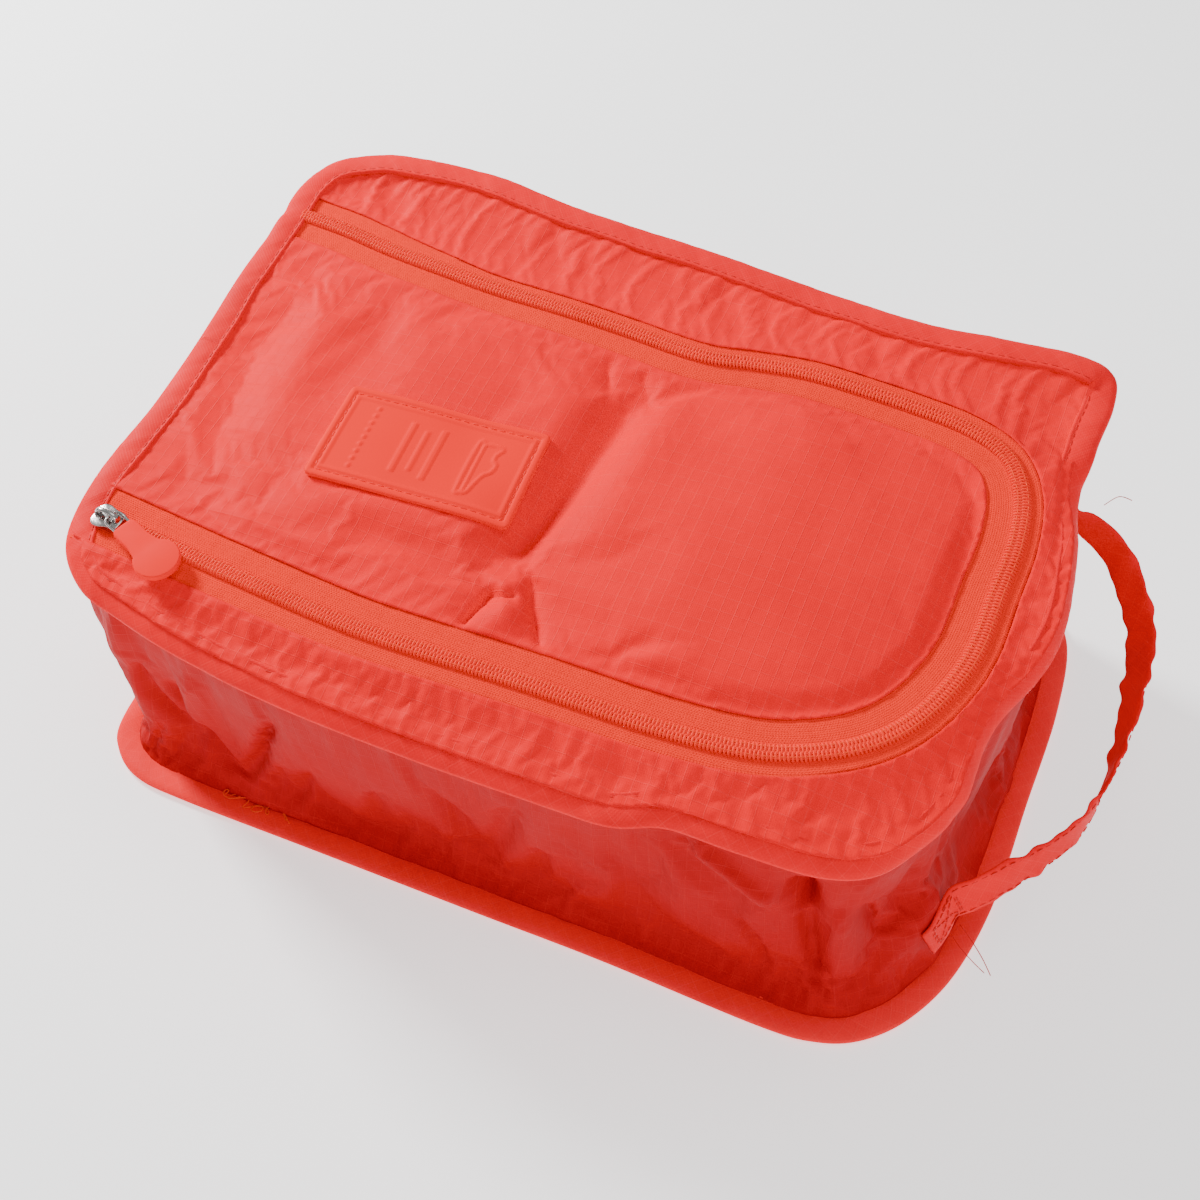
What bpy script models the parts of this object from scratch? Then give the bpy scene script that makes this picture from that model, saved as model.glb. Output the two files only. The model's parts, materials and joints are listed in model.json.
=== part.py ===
"""Soft nylon shoe bag with a U-shaped zip flap, bound seams and a side handle.

Metres, +Z up. The origin is the centre of the base, the front is -Y, the handle is on the +X end.
Every layer of fabric is a closed solid, and touching layers keep a gap of about 0.3 mm.
The lid lies in a tilted plane, lower at the front. Its pieces are modelled flat in that plane:
u runs along the length, v towards the back and w out of the lid.
"""

from math import asin, cos, pi, radians, sin

import bmesh
import bpy
from mathutils import Euler, Matrix, Vector

MM = 0.001

# Body of the bag.
BASE_LENGTH = 308 * MM
BASE_WIDTH = 212 * MM
LID_LENGTH = 304 * MM
LID_WIDTH = 213 * MM
LID_HEIGHT = 110.8 * MM  # height of the lid at the middle of the bag
LID_TILT = radians(6.5)
CORNER_RADIUS = 32 * MM
CORNER_STEPS = 7

# Layers at a bound edge, counted from the outer face of a panel inwards.
FABRIC = 0.6 * MM
GAP = 0.25 * MM
BINDING_WIDTH = 10 * MM
SEAM_INSET = 8 * MM
EDGE_INSET = FABRIC + GAP
LAYER = FABRIC + GAP
THREAD = 0.3 * MM  # radius of sewing thread

# Zip: a U with its open end at the left, turned a little in the lid.
ZIP_SKEW = radians(-2.3)
ZIP_BACK = 60.2 * MM
ZIP_FRONT = -80.8 * MM
ZIP_RIGHT = 126 * MM
ZIP_LEFT_BACK = -143.6 * MM
ZIP_LEFT_FRONT = -137.8 * MM
ZIP_RADIUS_BACK = 30 * MM
ZIP_RADIUS_FRONT = 48 * MM
ZIP_ARC_STEPS = 10
COIL_INNER = 0.5 * MM  # half the slit between the two rows of coil
COIL_OUTER = 2.9 * MM
COIL_LOW = -0.2 * MM
COIL_HIGH = 1.6 * MM
TAPE_INNER = 3.2 * MM
TAPE_OUTER = 10.5 * MM
PANEL_OFFSET = 10.8 * MM  # where the panel fabric starts beside the tape
ZIP_THREAD_TRIM = 4.5 * MM  # the sewing thread beside the tape ends before the lid's binding

# The flap folds along this line of the lid, from the back edge to the front edge. The axis lies level
# with the top of the coil, so that nothing on the flap swings back over the fold.
FOLD_LIFT = 1.7 * MM
FOLD_BACK = Vector((-137 * MM, 76 * MM, 0))
FOLD_FRONT = Vector((-97 * MM, -92 * MM, 0))

# Slider and puller, in the turned frame of the zip.
SLIDER_REST = -130.9 * MM
SLIDER_LENGTH = 10 * MM
SLIDER_NOSE = 4.3 * MM
SLIDER_TAIL = 3.7 * MM
WING = 1.2 * MM
WING_HIGH = 1.9 * MM
WING_LOW = -0.7 * MM
POST_REACH = 3.5 * MM
POST_HALF = 0.2 * MM
FLANGE = 0.9 * MM
FLANGE_START = -2 * MM
FLANGE_END = 4 * MM
LINK_HEIGHT = 4.4 * MM
LINK_OFFSET = 1.6 * MM  # the hinge lies under the rear of the bridge
LINK_WIRE = 0.5 * MM
LINK_HALF_WIDTH = 2.7 * MM
LINK_REACH = 9 * MM
PULLER_YAW = radians(-19.4)
TAB_START = 6.8 * MM
TAB_DISC = 24.6 * MM
TAB_DISC_RADIUS = 7.2 * MM
TAB_NECK = 4.0 * MM
TAB_THICKNESS = 2.2 * MM
TAB_CHAMFER = 0.4 * MM
TAB_STEPS = 20

# Label, in the frame of the lid.
LABEL_CENTRE = Vector((-51 * MM, -17.5 * MM, 0))
LABEL_SIZE = (70 * MM, 37 * MM)
LABEL_TURN = radians(3)

# Handle: a band sewn low at the front and higher at the back of the right end.
HANDLE_FRONT = Vector((152.2 * MM, -49 * MM, 33 * MM))
HANDLE_REAR = Vector((152.2 * MM, 71 * MM, 62 * MM))
STRAP_WIDTH = 12.5 * MM
STRAP_THICKNESS = 1.2 * MM
PATCH_LENGTH = 15 * MM
PATCH_DEPTH = 5.7 * MM  # from the line of the hinge inwards to the sewn patch
# Way of the strap outwards and along its axis, as parts of the reach and of the half span.
STRAP_REACH = 25 * MM
STRAP_WAY = ((0.03, -0.985), (0.2, -0.9), (0.46, -0.78), (0.75, -0.62), (0.9, -0.46), (0.97, -0.2),
             (1.0, 0.07), (1.0, 0.35), (0.93, 0.6), (0.74, 0.78), (0.5, 0.9), (0.22, 0.96), (0.03, 0.985))


def clear_scene():
    for obj in list(bpy.data.objects):
        bpy.data.objects.remove(obj, do_unlink=True)


def new_collection(name):
    collection = bpy.data.collections.new(name)
    bpy.context.scene.collection.children.link(collection)
    return collection


clear_scene()
PARTS = new_collection("shoe_bag")
CUTTERS = new_collection("cutters")
CUTTERS.hide_render = True


def material(name, colour, roughness, metallic=0.0):
    made = bpy.data.materials.new(name)
    made.use_nodes = True
    shader = made.node_tree.nodes["Principled BSDF"]
    shader.inputs["Base Color"].default_value = (*colour, 1.0)
    shader.inputs["Roughness"].default_value = roughness
    shader.inputs["Metallic"].default_value = metallic
    return made


NYLON = material("nylon_fabric", (0.78, 0.052, 0.038), 0.55)
BINDING = material("binding_fabric", (0.72, 0.045, 0.033), 0.6)
TAPE = material("zip_tape", (0.92, 0.10, 0.035), 0.8)
COIL = material("zip_coil", (0.80, 0.075, 0.035), 0.45)
THREAD_MATERIAL = material("thread", (0.70, 0.040, 0.030), 0.7)
RUBBER = material("soft_rubber", (0.86, 0.085, 0.045), 0.5)
CHROME = material("chrome", (0.75, 0.74, 0.72), 0.18, 1.0)


def empty(name, matrix, parent=None):
    made = bpy.data.objects.new(name, None)
    PARTS.objects.link(made)
    made.parent = parent
    made.matrix_local = matrix
    return made


def finish_mesh(name, mesh, colour, parent=None, matrix=None, collection=None):
    """Turns a bmesh into an object of the given collection, with its faces pointing out."""
    bmesh.ops.recalc_face_normals(mesh, faces=mesh.faces)
    data = bpy.data.meshes.new(name)
    mesh.to_mesh(data)
    mesh.free()
    made = bpy.data.objects.new(name, data)
    (collection or PARTS).objects.link(made)
    made.parent = parent
    made.matrix_local = matrix or Matrix()
    if colour:
        data.materials.append(colour)
    return made


# Outlines and solids ---------------------------------------------------------------------------


def rounded_rectangle(length, width, radius, inset=0.0, centre=(0.0, 0.0), steps=CORNER_STEPS):
    """Points of a rectangle with round corners, anticlockwise, moved inwards by the inset."""
    half_x = length / 2 - inset
    half_y = width / 2 - inset
    round_by = max(radius - inset, 0.1 * MM)
    points = []
    for corner, (side_x, side_y) in enumerate(((1, 1), (-1, 1), (-1, -1), (1, -1))):
        for step in range(steps + 1):
            angle = (corner + step / steps) * pi / 2
            x = centre[0] + side_x * (half_x - round_by) + round_by * cos(angle)
            y = centre[1] + side_y * (half_y - round_by) + round_by * sin(angle)
            points.append((x, y))
    return points


def base_outline(inset):
    return rounded_rectangle(BASE_LENGTH, BASE_WIDTH, CORNER_RADIUS, inset)


def lid_outline(inset):
    return rounded_rectangle(LID_LENGTH, LID_WIDTH, CORNER_RADIUS, inset)


def at_height(outline, height):
    return [Vector((x, y, height)) for x, y in outline]


def bridge(mesh, rings, closed):
    """Quads between each ring of vertices and the next."""
    pairs = list(zip(rings, rings[1:]))
    if closed:
        pairs.append((rings[-1], rings[0]))
    for low, high in pairs:
        count = len(low)
        for i in range(count):
            mesh.faces.new((low[i], low[(i + 1) % count], high[(i + 1) % count], high[i]))


def stack(rings):
    """A solid through a stack of outlines with equal numbers of points, capped at both ends."""
    mesh = bmesh.new()
    rows = [[mesh.verts.new(point) for point in ring] for ring in rings]
    bridge(mesh, rows, closed=False)
    mesh.faces.new(rows[0])
    mesh.faces.new(rows[-1])
    return mesh


def prism(outline, low, high):
    return stack([at_height(outline, low), at_height(outline, high)])


def edge_ring(outline, profile):
    """A closed section carried round a closed outline. The profile lists (inset, height)."""
    mesh = bmesh.new()
    rows = [[mesh.verts.new(point) for point in at_height(outline(inset), height)]
            for inset, height in profile]
    bridge(mesh, rows, closed=True)
    return mesh


def swept(way, profile):
    """A closed section carried along an open way. The profile lists (offset, height)."""
    mesh = bmesh.new()
    lines = [at_height(way(offset), height) for offset, height in profile]
    rows = [[mesh.verts.new(line[i]) for line in lines] for i in range(len(lines[0]))]
    bridge(mesh, rows, closed=False)
    mesh.faces.new(rows[0])
    mesh.faces.new(rows[-1])
    return mesh


def band(points, width):
    """An open strip along points in the XY plane, of the given width along Z."""
    mesh = bmesh.new()
    low = [mesh.verts.new((x, y, -width / 2)) for x, y in points]
    high = [mesh.verts.new((x, y, width / 2)) for x, y in points]
    for i in range(len(points) - 1):
        mesh.faces.new((low[i], low[i + 1], high[i + 1], high[i]))
    return mesh


def rectangle_profile(inner, outer, low, high):
    return [(inner, low), (outer, low), (outer, high), (inner, high)]


def thread_profile(offset, height):
    """The six-sided section of a sewing thread."""
    return [(offset + THREAD * cos(k * pi / 3), height + THREAD * sin(k * pi / 3)) for k in range(6)]


def boolean(obj, other, operation):
    modifier = obj.modifiers.new(operation.lower() + "_" + other.name, "BOOLEAN")
    modifier.operation = operation
    modifier.object = other
    modifier.solver = "EXACT"


def solidify(obj, thickness):
    modifier = obj.modifiers.new("thickness", "SOLIDIFY")
    modifier.thickness = thickness
    modifier.offset = 0.0
    modifier.use_even_offset = True


def cutter(name, mesh, parent=None, matrix=None):
    made = finish_mesh(name, mesh, None, parent, matrix, CUTTERS)
    made.hide_render = True
    made.display_type = "WIRE"
    return made


# Frames of the lid, the zip, the puller and the handle -----------------------------------------

LID_MATRIX = Matrix.Translation((0, 0, LID_HEIGHT)) @ Matrix.Rotation(LID_TILT, 4, "X")
ZIP_MATRIX = Matrix.Rotation(ZIP_SKEW, 4, "Z")
lid_frame = empty("lid_frame", LID_MATRIX)
zip_frame = empty("zip_frame", ZIP_MATRIX, lid_frame)


def zip_way(offset, trim=0.0):
    """The U of the zip at an offset outwards from its coil, from its back end to its front end."""
    back = ZIP_BACK + offset
    front = ZIP_FRONT - offset
    right = ZIP_RIGHT + offset
    points = [(ZIP_LEFT_BACK + trim, back)]
    corners = ((right - (ZIP_RADIUS_BACK + offset), back - (ZIP_RADIUS_BACK + offset),
                ZIP_RADIUS_BACK + offset, pi / 2),
               (right - (ZIP_RADIUS_FRONT + offset), front + (ZIP_RADIUS_FRONT + offset),
                ZIP_RADIUS_FRONT + offset, 0.0))
    for x, y, radius, start in corners:
        for step in range(ZIP_ARC_STEPS + 1):
            angle = start - step / ZIP_ARC_STEPS * pi / 2
            points.append((x + radius * cos(angle), y + radius * sin(angle)))
    points.append((ZIP_LEFT_FRONT + trim, front))
    return points


# The fold line in the frame of the zip, with its direction and its normal towards the flap.
FOLD_START = ZIP_MATRIX.inverted() @ FOLD_BACK
FOLD_END = ZIP_MATRIX.inverted() @ FOLD_FRONT
FOLD_ALONG = (FOLD_END - FOLD_START).normalized()
FOLD_NORMAL = Vector((-FOLD_ALONG.y, FOLD_ALONG.x, 0))


def fold_at(y, gap=0.0):
    """The point of the fold line at a height y of the zip's frame, moved towards the flap by the gap."""
    share = (y - FOLD_START.y) / (FOLD_END.y - FOLD_START.y)
    x = FOLD_START.x + share * (FOLD_END.x - FOLD_START.x) + gap / FOLD_NORMAL.x
    return (x, y)


def right_of_fold(gap=0.0):
    """A large block that covers the flap's side of the fold."""
    reach = 200 * MM
    near = [fold_at(-reach, gap), (reach, -reach), (reach, reach), fold_at(reach, gap)]
    return prism(near, -20 * MM, 20 * MM)


flap_side = cutter("flap_side", right_of_fold(GAP), zip_frame)

# Base ------------------------------------------------------------------------------------------


def make_base():
    inner = BINDING_WIDTH + GAP
    rings = [at_height(base_outline(inner), 0.0), at_height(base_outline(inner), LAYER),
             at_height(base_outline(EDGE_INSET), LAYER), at_height(base_outline(EDGE_INSET), LAYER + FABRIC)]
    finish_mesh("base_panel", stack(rings), NYLON)

    high = 4 * FABRIC + 3 * GAP
    section = [(0.0, 0.0), (BINDING_WIDTH, 0.0), (BINDING_WIDTH, FABRIC), (FABRIC, FABRIC),
               (FABRIC, high - FABRIC), (SEAM_INSET - 0.7 * MM, high - FABRIC), (SEAM_INSET - 0.7 * MM, high),
               (0.0, high)]
    finish_mesh("base_binding", edge_ring(base_outline, section), BINDING)
    seam = thread_profile(SEAM_INSET - 1.6 * MM, high + GAP + THREAD)
    finish_mesh("base_binding_thread", edge_ring(base_outline, seam), THREAD_MATERIAL)


# Side wall -------------------------------------------------------------------------------------

WALL_STEPS = 5


def make_wall():
    """One strip round the bag. Its edges turn outwards into the two bound seams."""
    low = 2 * LAYER + FABRIC / 2
    high = -(GAP + FABRIC / 2)

    def lid_ring(inset):
        return [LID_MATRIX @ point for point in at_height(lid_outline(inset), high)]

    foot = at_height(base_outline(SEAM_INSET), low)
    head = lid_ring(SEAM_INSET)
    rings = [at_height(base_outline(EDGE_INSET + GAP), low)]
    for step in range(WALL_STEPS + 1):
        share = step / WALL_STEPS
        rings.append([a.lerp(b, share) for a, b in zip(foot, head)])
    rings.append(lid_ring(EDGE_INSET + GAP))
    mesh = bmesh.new()
    rows = [[mesh.verts.new(point) for point in ring] for ring in rings]
    bridge(mesh, rows, closed=False)
    wall = finish_mesh("side_wall", mesh, NYLON)
    solidify(wall, FABRIC)


# Lid -------------------------------------------------------------------------------------------


def lid_opening():
    """Outline of the hole in the lid panel: the flap's side of the fold and the two ends of the zip."""
    outer = zip_way(PANEL_OFFSET)
    inner_back = ZIP_BACK - TAPE_INNER
    inner_front = ZIP_FRONT + TAPE_INNER
    return outer + [(ZIP_LEFT_FRONT, inner_front), fold_at(inner_front), fold_at(inner_back),
                    (ZIP_LEFT_BACK, inner_back)]


def make_lid_panel():
    panel = finish_mesh("lid_panel", prism(lid_outline(EDGE_INSET), 0.0, FABRIC), NYLON, lid_frame)
    hole = cutter("lid_hole", prism(lid_opening(), -5 * MM, 5 * MM), zip_frame)
    boolean(panel, hole, "DIFFERENCE")


def make_lid_binding():
    top = LAYER + FABRIC
    low = -(2 * LAYER + GAP)
    section = [(0.0, low), (SEAM_INSET - 0.7 * MM, low), (SEAM_INSET - 0.7 * MM, low + FABRIC),
               (FABRIC, low + FABRIC), (FABRIC, top - FABRIC), (BINDING_WIDTH, top - FABRIC),
               (BINDING_WIDTH, top), (0.0, top)]
    finish_mesh("lid_binding", edge_ring(lid_outline, section), BINDING, lid_frame)
    seam = thread_profile(SEAM_INSET, top + GAP + THREAD)
    finish_mesh("lid_binding_thread", edge_ring(lid_outline, seam), THREAD_MATERIAL, lid_frame)


def make_zip_outer():
    """The half of the zip that stays on the bag. Left of the fold its coil holds both rows."""
    tape = rectangle_profile(TAPE_INNER, TAPE_OUTER, 0.0, FABRIC)
    finish_mesh("zip_tape_outer", swept(zip_way, tape), TAPE, zip_frame)

    row = rectangle_profile(COIL_INNER, COIL_OUTER, COIL_LOW, COIL_HIGH)
    coil = finish_mesh("zip_coil_outer", swept(zip_way, row), COIL, zip_frame)
    for end, x, y in (("back", ZIP_LEFT_BACK, ZIP_BACK), ("front", ZIP_LEFT_FRONT, ZIP_FRONT)):
        side = 1 if end == "back" else -1
        tack = [(x, y + side * COIL_OUTER), (x, y - side * COIL_OUTER)]
        inner = y - side * COIL_OUTER
        slit = y - side * COIL_INNER
        root = x + 2.5 * MM
        tack += [fold_at(inner), fold_at(slit), (root, slit), (root, y + side * COIL_OUTER)]
        stub = cutter("coil_end_" + end, prism(tack, COIL_LOW, COIL_HIGH), zip_frame)
        boolean(coil, stub, "UNION")

    def thread_way(offset):
        return zip_way(offset, ZIP_THREAD_TRIM)

    stitch = thread_profile(PANEL_OFFSET + 1.0 * MM, FABRIC + GAP + THREAD)
    finish_mesh("zip_thread_outer", swept(thread_way, stitch), THREAD_MATERIAL, zip_frame)


# Flap ------------------------------------------------------------------------------------------

hinge_point = FOLD_START.lerp(FOLD_END, 0.5) + Vector((0, 0, FOLD_LIFT))
FLAP_MATRIX = Matrix.Translation(hinge_point)
flap_hinge = empty("flap_hinge", FLAP_MATRIX, zip_frame)


def flap_piece(name, mesh, colour):
    """A piece of the flap, modelled in the zip's frame and cut along the fold."""
    made = finish_mesh(name, mesh, colour, flap_hinge, FLAP_MATRIX.inverted())
    boolean(made, flap_side, "INTERSECT")
    return made


def make_flap():
    flap_piece("flap_panel", prism(zip_way(-PANEL_OFFSET), 0.0, FABRIC), NYLON)
    tape = rectangle_profile(-TAPE_OUTER, -TAPE_INNER, 0.0, FABRIC)
    flap_piece("zip_tape_inner", swept(zip_way, tape), TAPE)
    row = rectangle_profile(-COIL_OUTER, -COIL_INNER, COIL_LOW, COIL_HIGH)
    flap_piece("zip_coil_inner", swept(zip_way, row), COIL)
    stitch = thread_profile(-PANEL_OFFSET - 1.0 * MM, FABRIC + GAP + THREAD)
    flap_piece("zip_thread_inner", swept(zip_way, stitch), THREAD_MATERIAL)


def make_label():
    """A moulded rubber plate with a raised rim, and the thread that sews it down."""
    place = Matrix.Translation(LABEL_CENTRE) @ Matrix.Rotation(LABEL_TURN, 4, "Z")
    matrix = FLAP_MATRIX.inverted() @ ZIP_MATRIX.inverted() @ place
    low = FABRIC + GAP
    rim = low + 1.4 * MM
    face = low + 0.9 * MM

    def outline(inset):
        return rounded_rectangle(*LABEL_SIZE, 2.0 * MM, inset, steps=3)

    rings = [at_height(outline(0.0), low), at_height(outline(0.0), rim), at_height(outline(1.3 * MM), rim),
             at_height(outline(1.6 * MM), face)]
    finish_mesh("label_patch", stack(rings), RUBBER, flap_hinge, matrix)
    seam = edge_ring(outline, [(2.6 * MM + THREAD * cos(k * pi / 3),
                                face + GAP + THREAD + THREAD * sin(k * pi / 3)) for k in range(6)])
    finish_mesh("label_thread", seam, THREAD_MATERIAL, flap_hinge, matrix)


# Slider and puller -----------------------------------------------------------------------------

slider_frame = empty("slider_slide", Matrix.Translation((SLIDER_REST, ZIP_FRONT, 0)), zip_frame)
puller_frame = empty("puller_hinge", Matrix.Translation((LINK_OFFSET, 0, LINK_HEIGHT))
                     @ Matrix.Rotation(PULLER_YAW, 4, "Z"), slider_frame)


def wing_outline():
    """Plan of the slider: a round nose, wide shoulders and a narrower square tail."""
    back = SLIDER_LENGTH / 2
    half = [(back, SLIDER_TAIL - 0.6 * MM), (back - 0.8 * MM, SLIDER_TAIL), (0.2 * back, SLIDER_TAIL),
            (-0.3 * back, SLIDER_NOSE)]
    for step in range(1, 5):
        angle = pi / 2 + step * pi / 2 / 5
        half.append((-0.3 * back + 0.7 * back * cos(angle), SLIDER_NOSE * sin(angle)))
    half.append((-back, 0.0))
    return half + [(x, -y) for x, y in half[-2::-1]]


def box_outline(left, right, low, high):
    """Plan of a plain rectangle, counterclockwise."""
    return [(left, low), (right, low), (right, high), (left, high)]


def make_slider():
    """Two wings round the coil, joined by a thin post in the slit between its rows."""
    upper = prism(wing_outline(), WING_HIGH, WING_HIGH + WING)
    body = finish_mesh("slider_body", upper, CHROME, slider_frame)
    lower = cutter("slider_lower_wing", prism(wing_outline(), WING_LOW - WING, WING_LOW), slider_frame)
    boolean(body, lower, "UNION")
    blade = box_outline(-POST_REACH, POST_REACH, -POST_HALF, POST_HALF)
    post = cutter("slider_post", prism(blade, WING_LOW - WING / 2, WING_HIGH + WING / 2), slider_frame)
    boolean(body, post, "UNION")
    near, far = TAPE_INNER + 0.1 * MM, TAPE_INNER + 0.1 * MM + FLANGE
    for name, low, high in (("rear", near, far), ("front", -far, -near)):
        rail = box_outline(FLANGE_START, FLANGE_END, low, high)
        flange = cutter("slider_flange_" + name, prism(rail, FABRIC + 0.3 * MM, WING_HIGH + WING / 2),
                        slider_frame)
        boolean(body, flange, "UNION")


def make_bridge():
    """The arch on the slider that holds the puller's link."""
    foot = WING_HIGH + WING + GAP
    way = [(-3.4 * MM, foot), (-3.1 * MM, foot + 1.6 * MM), (-1.8 * MM, foot + 2.5 * MM),
           (1.6 * MM, foot + 2.5 * MM), (2.9 * MM, foot + 1.6 * MM), (3.2 * MM, foot)]
    upright = Matrix.Rotation(pi / 2, 4, "X")
    arch = finish_mesh("slider_bridge", band(way, 1.4 * MM), CHROME, slider_frame, upright)
    solidify(arch, 0.8 * MM)


def wire_loop(name, radius, collection):
    """The closed wire of the link, as a mesh: one end on the hinge line, the other in the tab's neck."""
    outline = rounded_rectangle(LINK_REACH, 2 * LINK_HALF_WIDTH, 1.2 * MM, 0.0, (LINK_REACH / 2, 0.0), 3)
    data = bpy.data.curves.new(name, "CURVE")
    data.dimensions = "3D"
    data.bevel_depth = radius
    data.bevel_resolution = 2
    spline = data.splines.new("POLY")
    spline.points.add(len(outline) - 1)
    for point, (x, y) in zip(spline.points, outline):
        point.co = (x, y, 0.0, 1.0)
    spline.use_cyclic_u = True
    curve = bpy.data.objects.new(name + "_curve", data)
    CUTTERS.objects.link(curve)
    curve.parent = puller_frame
    bpy.context.view_layer.update()
    graph = bpy.context.evaluated_depsgraph_get()
    mesh = bmesh.new()
    mesh.from_mesh(bpy.data.meshes.new_from_object(curve.evaluated_get(graph)))
    bmesh.ops.remove_doubles(mesh, verts=mesh.verts, dist=0.001 * MM)
    bpy.data.objects.remove(curve, do_unlink=True)
    return finish_mesh(name, mesh, CHROME if collection is PARTS else None, puller_frame, None, collection)


def tab_outline():
    """Plan of the pull tab: a straight neck that runs into a round end."""
    points = [(TAB_START, -TAB_NECK + TAB_CHAMFER), (TAB_START + TAB_CHAMFER, -TAB_NECK)]
    first = pi + asin(TAB_NECK / TAB_DISC_RADIUS)
    sweep = 2 * (2 * pi - first)
    for step in range(TAB_STEPS + 1):
        angle = first + sweep * step / TAB_STEPS
        points.append((TAB_DISC + TAB_DISC_RADIUS * cos(angle), TAB_DISC_RADIUS * sin(angle)))
    points += [(TAB_START + TAB_CHAMFER, TAB_NECK), (TAB_START, TAB_NECK - TAB_CHAMFER)]
    return points


def make_puller():
    wire_loop("pull_link", LINK_WIRE, PARTS)
    half = TAB_THICKNESS / 2
    tab = finish_mesh("pull_tab", prism(tab_outline(), -half, half), RUBBER, puller_frame)
    seat = wire_loop("link_seat", LINK_WIRE + 0.3 * MM, CUTTERS)
    seat.hide_render = True
    seat.display_type = "WIRE"
    boolean(tab, seat, "DIFFERENCE")


# Handle ----------------------------------------------------------------------------------------

handle_along = HANDLE_REAR - HANDLE_FRONT
HALF_SPAN = handle_along.length / 2
HANDLE_TURN = Euler((Vector((0, 1, 0)).angle(handle_along), 0, 0)).to_matrix().to_4x4()
HANDLE_MATRIX = Matrix.Translation(HANDLE_FRONT.lerp(HANDLE_REAR, 0.5)) @ HANDLE_TURN
handle_hinge = empty("handle_hinge", HANDLE_MATRIX)


def make_handle():
    way = [(out * STRAP_REACH, along * HALF_SPAN) for out, along in STRAP_WAY]
    strap = finish_mesh("handle_strap", band(way, STRAP_WIDTH), NYLON, handle_hinge)
    solidify(strap, STRAP_THICKNESS)


def make_handle_end(name, side):
    """A sewn end: flat on the wall, then turned out to the strap."""
    start = HALF_SPAN + PATCH_LENGTH + 2 * MM
    way = [(-PATCH_DEPTH, side * start), (-PATCH_DEPTH, side * (HALF_SPAN + 4 * MM)),
           (-0.6 * PATCH_DEPTH, side * (HALF_SPAN + 1.6 * MM)),
           (-0.2 * PATCH_DEPTH, side * (HALF_SPAN + 0.5 * MM))]
    end = finish_mesh("handle_end_" + name, band(way, STRAP_WIDTH), NYLON, handle_hinge)
    solidify(end, 1.0 * MM)

    def seam(inset):
        return rounded_rectangle(PATCH_LENGTH - 4 * MM, STRAP_WIDTH - 4 * MM, 0.8 * MM, inset, steps=2)

    across = Matrix.Rotation(pi / 2, 4, "Y")
    middle = side * (HALF_SPAN + 4 * MM + (PATCH_LENGTH - 2 * MM) / 2)
    lift = -PATCH_DEPTH + 0.5 * MM + GAP + THREAD
    place = Matrix.Translation((lift, middle, 0)) @ across @ Matrix.Rotation(pi / 2, 4, "Z")
    finish_mesh("handle_stitch_" + name, edge_ring(seam, thread_profile(0.0, 0.0)), THREAD_MATERIAL,
                handle_hinge, place)


make_base()
make_wall()
make_lid_panel()
make_lid_binding()
make_zip_outer()
make_flap()
make_label()
make_slider()
make_bridge()
make_puller()
make_handle()
make_handle_end("front", -1)
make_handle_end("rear", 1)
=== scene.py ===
"""Shoe bag: the cloth, zip, label, puller and handle that are seen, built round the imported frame.
Shapes are worked out in millimetres, and to_world() turns them into the frame's metres."""
import json
import math

import bpy
import numpy as np
from mathutils import Matrix, Vector
from mathutils.bvhtree import BVHTree
from mathutils.geometry import delaunay_2d_cdt


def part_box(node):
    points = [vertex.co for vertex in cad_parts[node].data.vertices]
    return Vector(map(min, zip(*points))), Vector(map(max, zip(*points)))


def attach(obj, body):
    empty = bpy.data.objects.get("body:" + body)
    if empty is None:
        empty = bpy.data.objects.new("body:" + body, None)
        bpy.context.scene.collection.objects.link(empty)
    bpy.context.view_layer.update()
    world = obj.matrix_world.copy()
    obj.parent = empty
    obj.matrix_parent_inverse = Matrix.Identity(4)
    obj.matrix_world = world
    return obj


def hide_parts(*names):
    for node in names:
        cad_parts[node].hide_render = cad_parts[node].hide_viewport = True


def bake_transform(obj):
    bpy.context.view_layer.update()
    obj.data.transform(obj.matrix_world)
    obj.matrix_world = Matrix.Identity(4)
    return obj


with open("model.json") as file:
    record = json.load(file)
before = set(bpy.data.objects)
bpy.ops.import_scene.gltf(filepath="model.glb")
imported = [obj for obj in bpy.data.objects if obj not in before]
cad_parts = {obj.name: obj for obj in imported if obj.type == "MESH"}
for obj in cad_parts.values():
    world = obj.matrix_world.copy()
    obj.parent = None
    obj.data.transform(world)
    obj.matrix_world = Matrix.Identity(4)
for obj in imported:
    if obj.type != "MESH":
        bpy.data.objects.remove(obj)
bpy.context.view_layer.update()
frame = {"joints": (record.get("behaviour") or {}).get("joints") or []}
joints = {j["name"]: j for j in frame["joints"]}
MM = 0.001

# ---------------------------------------------------------------- the lid's own frame: u right, v back, w up
FOLD_LIFT = 1.7
slide = np.array(joints["slider_travel"]["axis"])
fold_axis = np.array(joints["flap_fold"]["axis"])
fold_point = np.array(joints["flap_fold"]["pos_m"])
LID_N = np.cross(slide, fold_axis)
LID_N *= math.copysign(1, LID_N[2]) / np.linalg.norm(LID_N)
LID_U = np.array([1.0, 0, 0])
LID_V = np.cross(LID_N, LID_U)
LID_O = np.array([0, 0, (LID_N @ fold_point - FOLD_LIFT * MM) / LID_N[2]])
LID_AXES = np.array([LID_U, LID_V, LID_N])


def to_world(p):
    """Lid coordinates in millimetres to the frame's metres."""
    return LID_O + (np.asarray(p, float) @ LID_AXES) * MM


def to_lid(p):
    """The frame's metres to lid coordinates in millimetres."""
    return (np.asarray(p, float) - LID_O) @ LID_AXES.T / MM


# ---------------------------------------------------------------- lines
def unit(directions):
    """The same directions, each one long."""
    return directions / np.linalg.norm(directions, axis=-1, keepdims=True)


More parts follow.
